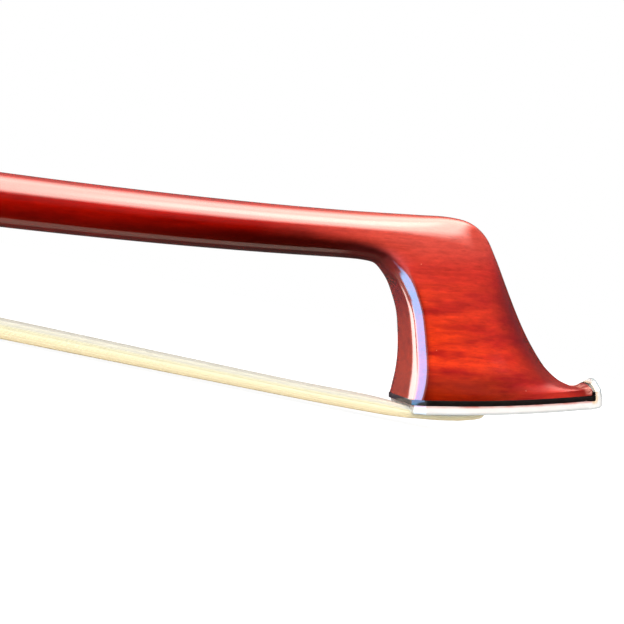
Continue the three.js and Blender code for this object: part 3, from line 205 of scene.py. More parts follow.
def smoothstep(value, low, high):
    share = np.clip((value - low) / (high - low), 0, 1)
    return share * share * (3 - 2 * share)


def in_head(x, z):
    """Places in the head's plane, as the bow's own X and Z."""
    c, s = math.cos(HEAD_PITCH), math.sin(HEAD_PITCH)
    return np.stack([HEAD_ORIGIN[0] + x * c - z * s, HEAD_ORIGIN[1] + x * s + z * c], -1)


def in_handle(u, w):
    c, s = math.cos(HANDLE_PITCH), math.sin(HANDLE_PITCH)
    return np.stack([HANDLE_ORIGIN[0] + u * c + w * s, HANDLE_ORIGIN[1] - u * s + w * c], -1)


def mesh_piece(name, points, faces):
    """A mesh object at the origin, from points in millimetres."""
    mesh = bpy.data.meshes.new(name)
    mesh.from_pydata((np.asarray(points, float) * MM).tolist(), [], [list(map(int, f)) for f in faces])
    mesh.update()
    piece = bpy.data.objects.new(name, mesh)
    bpy.context.scene.collection.objects.link(piece)
    return piece


def ring_faces(rings, count, joined=False):
    """Quads between rings of points, each ring `count` long."""
    k = np.arange(count)
    along = (k + 1) % count
    faces = []
    for i in range(rings if joined else rings - 1):
        here, ahead = i * count, ((i + 1) % rings) * count
        faces.append(np.stack([here + k, here + along, ahead + along, ahead + k], -1))
    return np.concatenate(faces)


def tube_faces(rings, count):
    """Quads between rings of points, and one face over each end."""
    faces = ring_faces(rings, count).tolist()
    return faces + [list(range(count))[::-1], [(rings - 1) * count + k for k in range(count)]]


def loft(name, rings):
    """A closed skin over rings of points."""
    piece = mesh_piece(name, np.concatenate(rings), tube_faces(len(rings), len(rings[0])))
    outward(piece)
    return piece


def use(piece):
    bpy.ops.object.select_all(action="DESELECT")
    piece.select_set(True)
    bpy.context.view_layer.objects.active = piece


@contextmanager
def all_in_edit_mode(piece):
    use(piece)
    bpy.ops.object.mode_set(mode="EDIT")
    bpy.ops.mesh.select_all(action="SELECT")
    yield
    bpy.ops.object.mode_set(mode="OBJECT")


def outward(piece):
    with all_in_edit_mode(piece):
        bpy.ops.mesh.normals_make_consistent(inside=False)


def points_of(piece):
    """The points of a mesh, in millimetres."""
    points = np.zeros(len(piece.data.vertices) * 3)
    piece.data.vertices.foreach_get("co", points)
    return points.reshape(-1, 3) / MM


def store(piece, **layers):
    """Keeps a number for each point of a mesh, which its material reads by name."""
    for name, values in layers.items():
        layer = piece.data.attributes.new(name, "FLOAT", "POINT")
        layer.data.foreach_set("value", np.asarray(values, np.float32))


def smoothed(piece, degrees=32):
    use(piece)
    bpy.ops.object.shade_smooth_by_angle(angle=math.radians(degrees))
    return piece


def modify(piece, kind, **settings):
    """Adds a modifier and applies it."""
    use(piece)
    bpy.ops.object.modifier_add(type=kind)
    modifier = piece.modifiers[-1]
    for key, value in settings.items():
        setattr(modifier, key, value)
    bpy.ops.object.modifier_apply(modifier=modifier.name)
    return piece


def carve(piece, cutter, operation="DIFFERENCE"):
    modify(piece, "BOOLEAN", operation=operation, solver="MANIFOLD", object=cutter)
    bpy.data.objects.remove(cutter)
    return piece


def round_edges(piece, width, segments=3, degrees=30):
    return modify(
        piece, "BEVEL", width=width * MM, segments=segments, limit_method="ANGLE",
        angle_limit=math.radians(degrees), use_clamp_overlap=True,
    )


def slab(outline, low, high, across=True):
    """An outline in the X-Z plane extruded across the bow, or one in the X-Y plane extruded upward."""
    flat = [(x, low, z) for x, z in outline] if across else [(x, y, low) for x, y in outline]
    piece = mesh_piece("slab", flat, [range(len(flat))])
    step = (0, (high - low) * MM, 0) if across else (0, 0, (high - low) * MM)
    with all_in_edit_mode(piece):
        bpy.ops.mesh.extrude_region_move(TRANSFORM_OT_translate={"value": step})
        bpy.ops.mesh.select_all(action="SELECT")
        bpy.ops.mesh.normals_make_consistent(inside=False)
    return piece


def crosswise(outline, start, end):
    """An outline in the Y-Z plane extruded along the bow."""
    piece = slab([(y, z) for y, z in outline], start, end)
    piece.data.transform(Matrix(((0, 1, 0, 0), (1, 0, 0, 0), (0, 0, 1, 0), (0, 0, 0, 1))))
    outward(piece)
    return piece


def placed(piece, pitch, origin):
    """Moves a mesh drawn in the head's or the handle's plane to its place on the bow."""
    turn = Matrix.Rotation(pitch, 4, "Y")
    piece.data.transform(Matrix.Translation(Vector((origin[0], 0, origin[1])) * MM) @ turn)
    return piece


def to_head(piece):
    return placed(piece, -HEAD_PITCH, HEAD_ORIGIN)


def to_handle(piece):
    return placed(piece, HANDLE_PITCH, HANDLE_ORIGIN)


# Stick and head
def camber_curve():
    """Fine points of the stick's axis ahead of the handle, with the distance along it."""
    start = in_handle(HANDLE_LENGTH, 0)
    leave = in_handle(HANDLE_LENGTH + CAMBER_HANDLE_REACH, 0)
    end = in_head(-NECK_SETBACK, NECK_RISE)
    rise = HEAD_PITCH - NECK_DROOP
    arrive = end - CAMBER_NECK_REACH * np.array([math.cos(rise), math.sin(rise)])
    t = np.linspace(0, 1, 2001)[:, None]
    points = (1 - t) ** 3 * start + 3 * (1 - t) ** 2 * t * leave + 3 * (1 - t) * t**2 * arrive + t**3 * end
    steps = np.linalg.norm(np.diff(points, axis=0), axis=1)
    return points, HANDLE_LENGTH + np.concatenate([[0], np.cumsum(steps)])


CAMBER_POINTS, CAMBER_RUN = camber_curve()
STICK_RUN = CAMBER_RUN[-1]


def stick_axis(distance):
    """Centre of the stick and its upward direction at distances from the butt."""
    distance = np.atleast_1d(np.asarray(distance, float))
    straight = in_handle(distance, np.zeros_like(distance))
    curved = np.stack([np.interp(distance, CAMBER_RUN, CAMBER_POINTS[:, i]) for i in (0, 1)], -1)
    slope = np.gradient(CAMBER_POINTS, CAMBER_RUN, axis=0)
    ahead = np.stack([np.interp(distance, CAMBER_RUN, slope[:, i]) for i in (0, 1)], -1)
    ahead /= np.linalg.norm(ahead, axis=1, keepdims=True)
    past = np.maximum(distance - STICK_RUN, 0)[:, None]
    centre = np.where((distance < HANDLE_LENGTH)[:, None], straight, curved + ahead * past)
    return centre, np.stack([-ahead[:, 1], ahead[:, 0]], -1)


def stick_flats(distance):
    share = np.maximum(0, (distance - OCTAGON_LENGTH) / (STICK_RUN - OCTAGON_LENGTH))
    return lerp(HANDLE_FLATS, NECK_DIAMETER, share**STICK_TAPER_POWER)


def stick_radius(distance, angle):
    """Distance of the surface from the axis; angle 0 is the underside."""
    apothem = stick_flats(distance) / 2
    facet = math.pi / 4
    from_flat = (angle + facet / 2) % facet - facet / 2
    roundness = smoothstep(distance, OCTAGON_LENGTH, OCTAGON_LENGTH + OCTAGON_FADE)
    return lerp(apothem / np.cos(from_flat), apothem, roundness)


def whole_ring(foot, up, rise, reach):
    """A full ring from half a section: rise from the section's foot, reach to the side."""
    x = foot[0] + up[0] * rise
    z = foot[1] + up[1] * rise
    half = np.stack([x, reach, z], -1)
    other = half[1:-1][::-1] * [1, -1, 1]
    return soften(np.concatenate([half, other]))


def soften(ring, passes=1):
    """Takes the sharpness off a ring's corners, as polishing does."""
    for _ in range(passes):
        ring = (np.roll(ring, 1, 0) + 2 * ring + np.roll(ring, -1, 0)) / 4
    return ring


def stick_ring(distance):
    angle = np.linspace(0, math.pi, HALF_STEPS + 1)
    radius = stick_radius(distance, angle)
    centre, up = stick_axis(distance)
    return whole_ring(centre[0], up[0], -radius * np.cos(angle), radius * np.sin(angle))


def beside_stick(distance, angle, radius):
    """Points at a radius around the stick's axis; angle 0 is the underside."""
    centre, up = stick_axis(distance)
    lift = -radius * np.cos(angle)
    return np.stack([centre[:, 0] + up[:, 0] * lift, radius * np.sin(angle), centre[:, 1] + up[:, 1] * lift], -1)


def plan_half(x):
    """Half width of the tip plate's outline."""
    widest = CHEEK_WIDEST_SHARE * HEAD_LENGTH
    back = np.clip((widest - x) / widest, 0, None)
    run = np.clip((x - widest) / (HEAD_LENGTH - widest), 0, 1)
    rear = CHEEK_HALF_MAX - (CHEEK_HALF_MAX - CHEEK_HALF_REAR) * back**2
    front = BEAK_HALF + (CHEEK_HALF_MAX - BEAK_HALF) * (1 - run**CHEEK_NARROWING_POWER)
    return np.where(x < widest, rear, front)


def throat_half(z):
    down = np.clip((HEAD_HEIGHT - z) / (HEAD_HEIGHT - WOOD_SEAT), 0, 1)
    return THROAT_HALF_NECK + (THROAT_HALF_PLATE - THROAT_HALF_NECK) * down**THROAT_WIDENING_POWER


def eased_run(run, share, passes):
    """A run of numbers, evened out where the share is above 0."""
    run = run.copy()
    for _ in range(passes):
        run[1:-1] += share[1:-1] * ((run[:-2] + run[2:]) / 2 - run[1:-1])
    return run


def head_half(depth, foot, up, pair):
    """Half a section of the head: round like the neck at first, then throat, bevel, cheek and facet."""
    s = np.linspace(0, TOP, HALF_STEPS + 1)
    radius = NECK_DIAMETER / 2
    angle = math.pi * s / TOP
    round_rise = radius - radius * np.cos(angle) + (depth - 2 * radius) * smoothstep(s, 4.5, 14.5)
    round_reach = radius * np.sin(angle)
    plan = smoothstep(pair, 9, 15)
    flat = throat_half(foot[1])
    corner = flat + THROAT_BEVEL_INSET

    def reach_at(rise, carved):
        return lerp(carved, plan_half(foot[0] + up[0] * rise), plan)

    crest = depth - lerp(RIDGE_DEPTH, NOSE_DEPTH, smoothstep(pair, 13, 15))
    bevel = np.clip((s - FLAT_EDGE) / (BEVEL_EDGE - FLAT_EDGE), 0, 1)
    cheek = np.clip((s - BEVEL_EDGE) / (CREST - BEVEL_EDGE), 0, 1)
    ridge = np.clip((s - CREST) / (TOP - CREST), 0, 1)
    front = lerp(lerp(THROAT_BEVEL_RUN, crest, cheek), depth, ridge)
    rise = np.where(s <= BEVEL_EDGE, THROAT_BEVEL_RUN * bevel, front)
    swell = reach_at(rise, lerp(RIDGE_HALF, corner, 1 - cheek**CHEEK_BULGE_POWER))
    edge = reach_at(THROAT_BEVEL_RUN, corner)
    reach = np.where(s <= BEVEL_EDGE, lerp(flat, edge, bevel), swell)
    reach = np.where(s <= FLAT_EDGE, flat * s / FLAT_EDGE, reach)
    reach = np.where(s > CREST, reach_at(crest, RIDGE_HALF) * (1 - ridge), reach)
    shoulder = smoothstep(s, 6, 11) * (1 - smoothstep(s, 15.2, TOP)) / 2
    crisp = smoothstep(pair, 13, 15.5)
    arris = np.exp(-(((s - 2.1) / 0.8) ** 2)) / 2
    rise, reach = (
        eased_run(lerp(eased_run(run, shoulder, SHOULDER_ROUNDING), run, crisp), arris, ARRIS_ROUNDING)
        for run in (rise, reach)
    )
    formed = lerp(smoothstep(pair, 2, 6), smoothstep(pair, 5, 9), smoothstep(s, 4, 12))
    return lerp(round_rise, rise, formed), lerp(round_reach, reach, formed)


def catmull_rom(points, t):
    """Point at t, counted in points, on a curve through all of them."""
    last = len(points) - 1
    i = min(int(t), last - 1) if t < last else last - 1
    w = t - i
    p0, p1, p2, p3 = (points[min(max(j, 0), last)] for j in (i - 1, i, i + 1, i + 2))
    if i == 0:
        p0 = p1
    v0, v1 = (p2 - p0) / 2, (p3 - p1) / 2
    return (2 * p1 - 2 * p2 + v0 + v1) * w**3 + (3 * p2 - 3 * p1 - 2 * v0 - v1) * w**2 + v0 * w + p1


def head_rings():
    rise = np.array([math.sin(NECK_DROOP), math.cos(NECK_DROOP)])
    neck = np.array([-NECK_SETBACK, NECK_RISE])
    throat, front = [neck - rise * NECK_DIAMETER / 2], [neck + rise * NECK_DIAMETER / 2]
    for throat_x, throat_z, front_x, front_z in HEAD_PAIR_SHARES:
        throat.append(np.array([throat_x * HEAD_LENGTH - THROAT_SETBACK, lerp(WOOD_SEAT, HEAD_HEIGHT, throat_z)]))
        front.append(np.array([front_x * HEAD_LENGTH, lerp(WOOD_SEAT, HEAD_HEIGHT, front_z)]))
    rings = []
    for i in range((len(throat) - 1) * HEAD_RINGS_PER_PAIR + 1):
        pair = i / HEAD_RINGS_PER_PAIR
        foot, top = catmull_rom(throat, pair), catmull_rom(front, pair)
        depth = np.linalg.norm(top - foot)
        up = (top - foot) / depth
        rise, reach = head_half(depth, foot, up, pair)
        ring = whole_ring(foot, up, rise, reach)
        ring[:, 2] -= sag(ring[:, 0]) * (1 - smoothstep(ring[:, 2], WOOD_SEAT, 3 * WOOD_SEAT))
        lift = np.clip((ring[:, 0] - TOE_START) / 1.2, 0, 1) ** 2 * smoothstep(ring[:, 2], 2.1, 2.75)
        lift = lift * (1 - 0.95 * np.clip(np.abs(ring[:, 1]) / 2.3, 0, 1) ** 2)
        place = in_head(ring[:, 0], ring[:, 2] + TOE_LIFT * lift)
        rings.append(np.stack([place[:, 0], ring[:, 1], place[:, 1]], -1))
    return rings


def around_section():
    """Where each point of a ring lies around the section."""
    half = np.linspace(0, TOP, HALF_STEPS + 1)
    return np.concatenate([half, half[1:-1][::-1]])


def varnish_painted_shade(around, run, pair):
    """Painted shade: how light the varnish's colour is, darker under the stick, in the throat, on the bevel and ridge.
    """
    height = -np.cos(math.pi * around / TOP)
    near_head = smoothstep(run, 605, 655)
    shaft = lerp(lerp(0.5, 0.07, near_head), 1, smoothstep(height, lerp(-0.8, -0.4, near_head), 0.3))
    if pair is None:
        return shaft
    limit, spread = lerp(6.9, 4.15, smoothstep(pair, 0.5, 5)), lerp(1.3, 0.3, smoothstep(pair, 0.5, 5))
    ridge = smoothstep(around, 10, 14) * smoothstep(pair, 6.5, 8.5)
    below = lerp(lerp(0.07, 0.22, smoothstep(pair, 2, 6)), 1, smoothstep(around, limit - spread, limit + spread))
    return below * (1 - 0.68 * ridge)


def varnish_polish(around, pair):
    """How glossy the varnish is: dull in the hollow where the stick turns into the throat, and on the toe."""
    if pair is None:
        return np.ones_like(around)
    hollow = smoothstep(pair, 0.2, 1.2) * (1 - smoothstep(pair, 3.8, 4.8)) * (1 - smoothstep(around, 4.8, 7))
    toe = smoothstep(pair, 11, 12.5) * smoothstep(around, 6.5, 8.5)
    return (1 - 0.9 * hollow) * (1 - 0.8 * toe)


def sag(x):
    return PLATE_SAG * np.sin(math.pi * np.clip(x / HEAD_LENGTH, 0, 1))


def grain_places(points):
    """Distance along the stick, height over its axis and place across, in millimetres."""
    x, z = points[:, 0], points[:, 2]
    distance = (x - HANDLE_ORIGIN[0]) / math.cos(HANDLE_PITCH)
    for _ in range(4):
        centre, up = stick_axis(distance)
        distance = distance + (x - centre[:, 0]) * up[:, 1] - (z - centre[:, 1]) * up[:, 0]
    centre, up = stick_axis(distance)
    height = (x - centre[:, 0]) * up[:, 0] + (z - centre[:, 1]) * up[:, 1]
    return np.stack([distance, height, points[:, 1]], -1)


def head_places(points):
    """Places in the head's plane, from the bow's own."""
    c, s = math.cos(HEAD_PITCH), math.sin(HEAD_PITCH)
    x, z = points[:, 0] - HEAD_ORIGIN[0], points[:, 2] - HEAD_ORIGIN[1]
    return x * c + z * s, z * c - x * s


def lay_grain(piece, rings, light, polish):
    """Stores the grain's own coordinates on the mesh, so the figure follows the bent stick, and the painted shade."""
    points = points_of(piece)
    layer = piece.data.attributes.new("grain", "FLOAT_VECTOR", "POINT")
    layer.data.foreach_set("vector", grain_places(points).astype(np.float32).ravel())
    known = np.concatenate(rings)
    tree = KDTree(len(known))
    for i, place in enumerate(known):
        tree.insert(place, i)
    tree.balance()
    nearest = [tree.find(place)[1] for place in points]
    x, z = head_places(points)
    # The painted shade is made deeper low on the head, just over the liner.
    seat = (1 - smoothstep(z, 3.8, 6.6)) * smoothstep(x, -1, 1) * (1 - smoothstep(x, 12, 24))
    # Stored: light, the painted shade; polish, the gloss; rubbed, the toe's worn end, which the varnish paints with
    # wear and a painted highlight.
    store(
        piece, light=np.concatenate(light)[nearest] * (1 - 0.62 * seat), polish=np.concatenate(polish)[nearest],
        rubbed=smoothstep(x, 26.2, 27.3) * smoothstep(z, 1.9, 2.4) * (1 - smoothstep(z, 2.9, 3.3)),
    )


def rod(radius, start, end, sides=48, axis="X"):
    """A cylinder between two places along X, or along Z."""
    bpy.ops.mesh.primitive_cylinder_add(vertices=sides, radius=radius * MM, depth=(end - start) * MM)
    piece = bpy.context.object
    if axis == "X":
        piece.data.transform(Matrix.Rotation(math.pi / 2, 4, "Y"))
    middle = (start + end) / 2 * MM
    piece.data.transform(Matrix.Translation((middle, 0, 0) if axis == "X" else (0, 0, middle)))
    return piece


def block(x0, x1, half, z0, z1):
    return slab([(x0, z0), (x1, z0), (x1, z1), (x0, z1)], -half, half)


def make_stick():
    fade = [OCTAGON_LENGTH + OCTAGON_FADE * i / 12 for i in range(13)]
    straight = [2.4 * i for i in range(45)]
    curve = [lerp(HANDLE_LENGTH, STICK_RUN, i / CAMBER_RINGS) for i in range(CAMBER_RINGS)]
    runs = sorted({0.0, 0.3, *straight, *fade, *curve})
    rings = [stick_ring(d) for d in runs]
    middle = rings[0].mean(0)
    rings[0] = middle + (rings[0] - middle) * 0.94
    head = head_rings()
    around = around_section()
    pairs = [i / HEAD_RINGS_PER_PAIR for i in range(len(head))]
    # Painted shade for each ring, which the varnish's colour reads through the 'light' attribute.
    light = [varnish_painted_shade(around, d, None) for d in runs] + [varnish_painted_shade(around, STICK_RUN, p) for p in pairs]
    polish = [varnish_polish(around, p) for p in [None] * len(runs) + pairs]
    rings += head
    stick = loft("bow_stick", rings)
    nipple = round_edges(rod(NIPPLE_DIAMETER / 2, -NIPPLE_LENGTH, 1), 0.3)
    carve(stick, to_handle(nipple), "UNION")
    for cutter in (rod(*SCREW_HOLE), rod(*SCREW_BEARING), block(*EYELET_SLOT)):
        carve(stick, to_handle(cutter))
    x0, x1, half, deep = HEAD_MORTISE
    carve(stick, to_head(block(x0, x1, half, -1, deep)))
    carve(stick, to_head(slab(TOE_CUT, -7, 7)))
    lay_grain(stick, rings, light, polish)
    return smoothed(stick, 50)


def plan_outline(rear):
    end = HEAD_LENGTH - BEAK_ROUNDING
    x = np.linspace(THROAT_BEVEL_RUN, end, 44)
    arc = np.linspace(0, math.pi / 2, 12)[1:]
    half = [(rear, THROAT_HALF_PLATE), *zip(x, plan_half(x))]
    reach = BEAK_ROUNDING + 0.3
    half += [(end + reach * math.sin(a), float(plan_half(np.array(end))) * math.cos(a)) for a in arc]
    return half[:-1] + [(end + reach, 0)] + [(x, -y) for x, y in half[:-1][::-1]]


def facing(name, outline, rear):
    """A sheet under the head: its outline along the bow, cut to the plan, with the mortise through it."""
    piece = slab(outline, -8, 8)
    piece.name = name
    piece.data.name = name
    carve(piece, slab(plan_outline(rear), -2, 6, across=False), "INTERSECT")
    for side in (-1, 1):
        beside = [(side * half, height) for height, half in CURL_HALF] + [(0, 6), (side * 9, 6), (side * 9, 2.3)]
        carve(piece, crosswise(beside, TONGUE_START, 32))
    x0, x1, half, _ = HEAD_MORTISE
    carve(piece, block(x0, x1, half, -1, 4))
    return piece


def along_sheet(height, end):
    """Points of a face of the sheet from its rear to the curl, following the shallow arc."""
    x = np.linspace(-2, end, 28)
    return list(zip(x, height - sag(x)))


def make_tip_plate():
    under = along_sheet(0.0, 26.4)
    over = along_sheet(PLATE_THICKNESS, PLATE_TURN)[::-1]
    plate = facing("tip_plate_bone", under + CURL_OUTSIDE + CURL_INSIDE + over, 0)
    round_edges(plate, 0.24, 4, 40)
    with all_in_edit_mode(plate):
        bpy.ops.mesh.quads_convert_to_tris()
        bpy.ops.mesh.subdivide(number_cuts=2)
        bpy.ops.mesh.select_all(action="DESELECT")
    for corner in plate.data.vertices:
        corner.select = corner.co.x > CURL_START * MM
    bpy.ops.object.mode_set(mode="EDIT")
    bpy.ops.mesh.subdivide(number_cuts=2)
    bpy.ops.object.mode_set(mode="OBJECT")
    x, _, z = points_of(plate).T
    places = np.stack([x, z], -1)
    outline = np.array(under + CURL_OUTSIDE)
    steps = np.linspace(0, 1, 12, endpoint=False)[:, None, None]
    outline = (outline[:-1] * (1 - steps) + outline[1:] * steps).reshape(-1, 2)
    to_inside, to_edge = (
        np.array([np.sqrt(((line - place) ** 2).sum(1).min()) for place in places])
        for line in (np.array(CURL_INSIDE), outline)
    )
    turned = np.zeros(len(plate.data.vertices) * 3)
    plate.data.vertex_normals.foreach_get("vector", turned)
    across = np.abs(turned.reshape(-1, 3)[:, 1])
    # Painted shade on the rounded edges: near the outline on faces turned sideways, and on the curl's tongue.
    tongue = smoothstep(x, 28.2, 28.6) * smoothstep(z, 1.0, 1.9)
    sides = 0.75 * (1 - smoothstep(to_edge, 0.05, 0.26)) * smoothstep(across, 0.02, 0.15)
    store(
        plate, seam=np.where(x < 28.1, (z + sag(x)) / PLATE_THICKNESS, 0), hollow=1 - smoothstep(to_inside, 0.15, 0.6),
        rim=np.maximum(sides, tongue * (1 - smoothstep(to_edge, 0.16, 0.44))),
    )
    return smoothed(to_head(plate), 35)


def make_liner():
    under = along_sheet(PLATE_THICKNESS + SEAM_GAP, PLATE_TURN)
    over = along_sheet(WOOD_SEAT - SEAM_GAP, TOE_START)[::-1]
    liner = facing("head_liner_ebony", under + LINER_OUTSIDE + LINER_INSIDE + over, LINER_REAR)
    round_edges(liner, 0.06, 2, 40)
    return smoothed(to_head(liner), 35)


# Hair
def steady_slopes(x, y):
    """Slopes for a curve through points that never overshoots them."""
    step = np.diff(x)
    slope = np.diff(y) / step
    inner = np.where(
        slope[:-1] * slope[1:] > 0,
        2 * slope[:-1] * slope[1:] / np.where(slope[:-1] + slope[1:] == 0, 1, slope[:-1] + slope[1:]),
        0,
    )
    return np.concatenate([[slope[0]], inner, [slope[-1]]])


def steady_curve(x, y, at):
    slopes = steady_slopes(x, y)
    i = np.clip(np.searchsorted(x, at) - 1, 0, len(x) - 2)
    h = x[i + 1] - x[i]
    t = (at - x[i]) / h
    return (
        y[i] * (1 + 2 * t) * (1 - t) ** 2 + slopes[i] * h * t * (1 - t) ** 2
        + y[i + 1] * t**2 * (3 - 2 * t) + slopes[i + 1] * h * t**2 * (t - 1)
    )


def hair_rows():
    """Inner edge, outer edge and width of the hair, from the head's knot to the frog's."""
    at_head = [(in_head(x0, z0), in_head(x1, z1), width) for x0, z0, x1, z1, width in HAIR_AT_HEAD]
    in_frog = [
        (in_handle(FROG_SETBACK + u0, -w0), in_handle(FROG_SETBACK + u1, -w1), width)
        for u0, w0, u1, w1, width in HAIR_IN_FROG
    ]
    (mouth, top), (_, bottom), mouth_width = in_frog[0]
    plate = HEAD_ORIGIN[0]
    x, *curves = np.array([
        (mouth, top, bottom, mouth_width), (-285, 1.9, 0.25, 10.5), (-270, 2.25, 0.02, 10.2),
        (plate - 70, 2.55, 0.2, 8.4), (plate - 15, 2.3, 0.38, 8.4), (plate - 4.4, 2.45, 0.56, 8.3),
        (plate, 2.3, 0.8, 7.6),
    ]).T
    at = np.concatenate([plate - np.array([0.3, 1.2, 2.2, 3.2, 4.4, 6, 8, 11, 15, 22, 34, 50, 70]),
                         np.linspace(plate - 100, -270, 14), [-276, -281, -285, -287.3]])
    inner, outer, width = (steady_curve(x, curve, at) for curve in curves)
    free = [(np.array([px, pi]), np.array([px, po]), w) for px, pi, po, w in zip(at, inner, outer, width)]
    return at_head + free + in_frog


def strand_places(rng):
    """Places of the strands in the hank's section, as shares across and through it: a skin and a second layer."""
    places = []
    for layer, (count_wide, count_deep) in enumerate(STRAND_LAYERS):
        inset = 0.5 * layer
        for i in range(count_wide):
            across = lerp(-1, 1, (i + 0.5) / count_wide) * (1 - 0.05 * inset)
            places += [(across + rng.uniform(-0.012, 0.012), d + rng.uniform(-0.02, 0.02))
                       for d in (0.03 + 0.1 * inset, 0.97 - 0.1 * inset)]
        for i in range(count_deep):
            through = (i + 0.5) / count_deep
            places += [(side * (1 - 0.06 * inset + rng.uniform(-0.01, 0.01)), through) for side in (-1, 1)]
    return places


def directions(path):
    ahead = np.gradient(path, axis=0)
    return ahead / np.linalg.norm(ahead, axis=1, keepdims=True)


def tube(path, ahead, out, radius, sides=6):
    """Points and faces of a thin tube around a path, its first side turned outward."""
    out = out / np.linalg.norm(out, axis=1, keepdims=True)
    over = np.cross(ahead, out)
    turn = np.arange(sides) * 2 * math.pi / sides
    ring = path[:, None] + radius * (out[:, None] * np.cos(turn)[:, None] + over[:, None] * np.sin(turn)[:, None])
    return ring.reshape(-1, 3), tube_faces(len(path), sides)


def make_hair():
    rng = random.Random(11)
    rows = hair_rows()
    inner, outer, width = (np.array([row[i] for row in rows]) for i in range(3))
    margin = STRAND_RADIUS / np.linalg.norm(outer - inner, axis=1)
    points, faces, shade, deep = [], [], [], []
    for across, through in strand_places(rng):
        corner = 1 - 0.14 * max(0.0, 2 * abs(through - 0.5)) ** 6
        drift = rng.uniform(0, 6.28)
        wander = 0.0012 * np.sin(np.linspace(0, rng.uniform(4, 9), len(rows)) + drift)
        side = (across * corner + wander) * (width / 2 - STRAND_RADIUS)
        share = np.clip(np.clip(through + 0.5 * wander, 0, 1), margin, 1 - margin)
        centre = inner + (outer - inner) * share[:, None]
        path = np.stack([centre[:, 0], side, centre[:, 1]], -1)
        ahead = directions(path)
        ring, strand = tube(path, ahead, np.cross(ahead, [0, 1, 0]), STRAND_RADIUS)
        start = len(points) * len(ring)
        points.append(ring)
        faces += [[start + k for k in face] for face in strand]
        # The upper strands are painted greyer: painted shade, where the stick shades the top of the hank.
        upper_painted_shading = 1 - float(smoothstep(through, 0.12, 0.34))
        shade += [0.75 * upper_painted_shading + 0.25 * rng.random()] * len(ring)
        deep += [through] * len(ring)
    hair = mesh_piece("hair_strands", np.concatenate(points), faces)
    outward(hair)
    store(hair, strand=shade, through=deep)
    hair.data.shade_smooth()
    return hair


def make_hair_core():
    """The hank's inside, which closes the gaps between the strands that are modelled one by one."""
    rings = []
    for inner, outer, width in hair_rows():
        across = outer - inner
        half = width / 2 - 0.28
        turn = np.linspace(0, 2 * math.pi, 24, endpoint=False)
        thick = np.linalg.norm(across)
        reach = half * np.sign(np.cos(turn)) * np.abs(np.cos(turn)) ** 0.3
        through = 0.5 + (0.5 - min(0.17 / thick, 0.3)) * np.sign(np.sin(turn)) * np.abs(np.sin(turn)) ** 0.5
        place = inner + across * through[:, None]
        rings.append(np.stack([place[:, 0], reach, place[:, 1]], -1))
    core = loft("hair_core", rings)
    core.data.shade_smooth()
    return core


# Grip
def make_leather():
    """A sleeve skived thin at both ends, with the step of its glued lap at the back."""
    stations = [(0, 0.25), (0.4, 0.42), (1.2, 0.62), (2.6, 0.86), (4.5, 1.0)]
    stations += [(d, 1.0) for d in np.linspace(6, LEATHER_LENGTH - 6, 12)]
    stations += [(LEATHER_LENGTH - d, t) for d, t in stations[:5][::-1]]
    angle = np.linspace(0, 2 * math.pi, 160, endpoint=False)
    lap = math.radians(200)
    step = 0.16 * smoothstep(angle, lap, lap + 0.5) * (angle > lap) * (1 - smoothstep(angle, lap + 0.5, lap + 2.4))
    skin = []
    for run, thickness in stations:
        over = stick_radius(GRIP_START + run, angle) + GLUE_GAP + LEATHER_THICKNESS * thickness * (0.84 + step)
        skin.append(beside_stick(GRIP_START + run, angle, soften(over[:, None], 6)[:, 0]))
    for run, _ in stations[::-1]:
        skin.append(beside_stick(GRIP_START + run, angle, stick_radius(GRIP_START + run, angle) + GLUE_GAP))
    faces = ring_faces(len(skin), len(angle), joined=True)
    leather = mesh_piece("thumb_leather_wrap", np.concatenate(skin), faces)
    outward(leather)
    return smoothed(leather, 40)


def make_lapping():
    """Wire wound close along the stick."""
    turns = (LAPPING_LENGTH - WIRE_DIAMETER) / WIRE_PITCH
    per_turn = 32
    count = int(turns * per_turn)
    angle = np.arange(count) * 2 * math.pi / per_turn
    start = GRIP_START + LEATHER_LENGTH + GLUE_GAP + WIRE_DIAMETER / 2
    distance = start + WIRE_PITCH * np.arange(count) / per_turn
    radius = stick_radius(distance, angle) + GLUE_GAP + WIRE_DIAMETER / 2
    path, axis = beside_stick(distance, angle, radius), beside_stick(distance, angle, 0 * radius)
    ahead = directions(path)
    out = path - axis
    out -= ahead * (out * ahead).sum(1, keepdims=True)
    wire = mesh_piece("lapping_wire", *tube(path, ahead, out, WIRE_DIAMETER / 2))
    outward(wire)
    wire.data.shade_smooth()
    return wire


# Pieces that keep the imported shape, with their edges eased
def eased(node, name, width):
    piece = bpy.data.objects.new(name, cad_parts[node].data.copy())
    piece.data.name = name
    bpy.context.scene.collection.objects.link(piece)
    with all_in_edit_mode(piece):
        bpy.ops.mesh.remove_doubles(threshold=MERGE_DISTANCE * MM)
        bpy.ops.mesh.dissolve_limited(angle_limit=FLAT_ENOUGH)
    return smoothed(round_edges(piece, width, 2, 35), 35)


# Materials
def add(tree, kind, inputs=None, **settings):
    """A node with its settings, its inputs given as values or as sockets to join."""
    node = tree.nodes.new(kind)
    for key, value in settings.items():
        setattr(node, key, value)
    for key, value in (inputs or {}).items():
        if isinstance(value, bpy.types.NodeSocket):
            tree.links.new(value, node.inputs[key])
        else:
            node.inputs[key].default_value = value
    return node


def math_node(tree, operation, a, b=0.0):
    return add(tree, "ShaderNodeMath", {0: a, 1: b}, operation=operation).outputs[0]


def product(tree, first, *others):
    for other in others:
        first = math_node(tree, "MULTIPLY", first, other)
    return first


def stored(tree, name, output="Fac"):
    """What the mesh keeps under this name."""
    return add(tree, "ShaderNodeAttribute", attribute_name=name).outputs[output]


def stretched(tree, vector, scale):
    return add(tree, "ShaderNodeVectorMath", {0: vector, 1: scale}, operation="MULTIPLY").outputs[0]


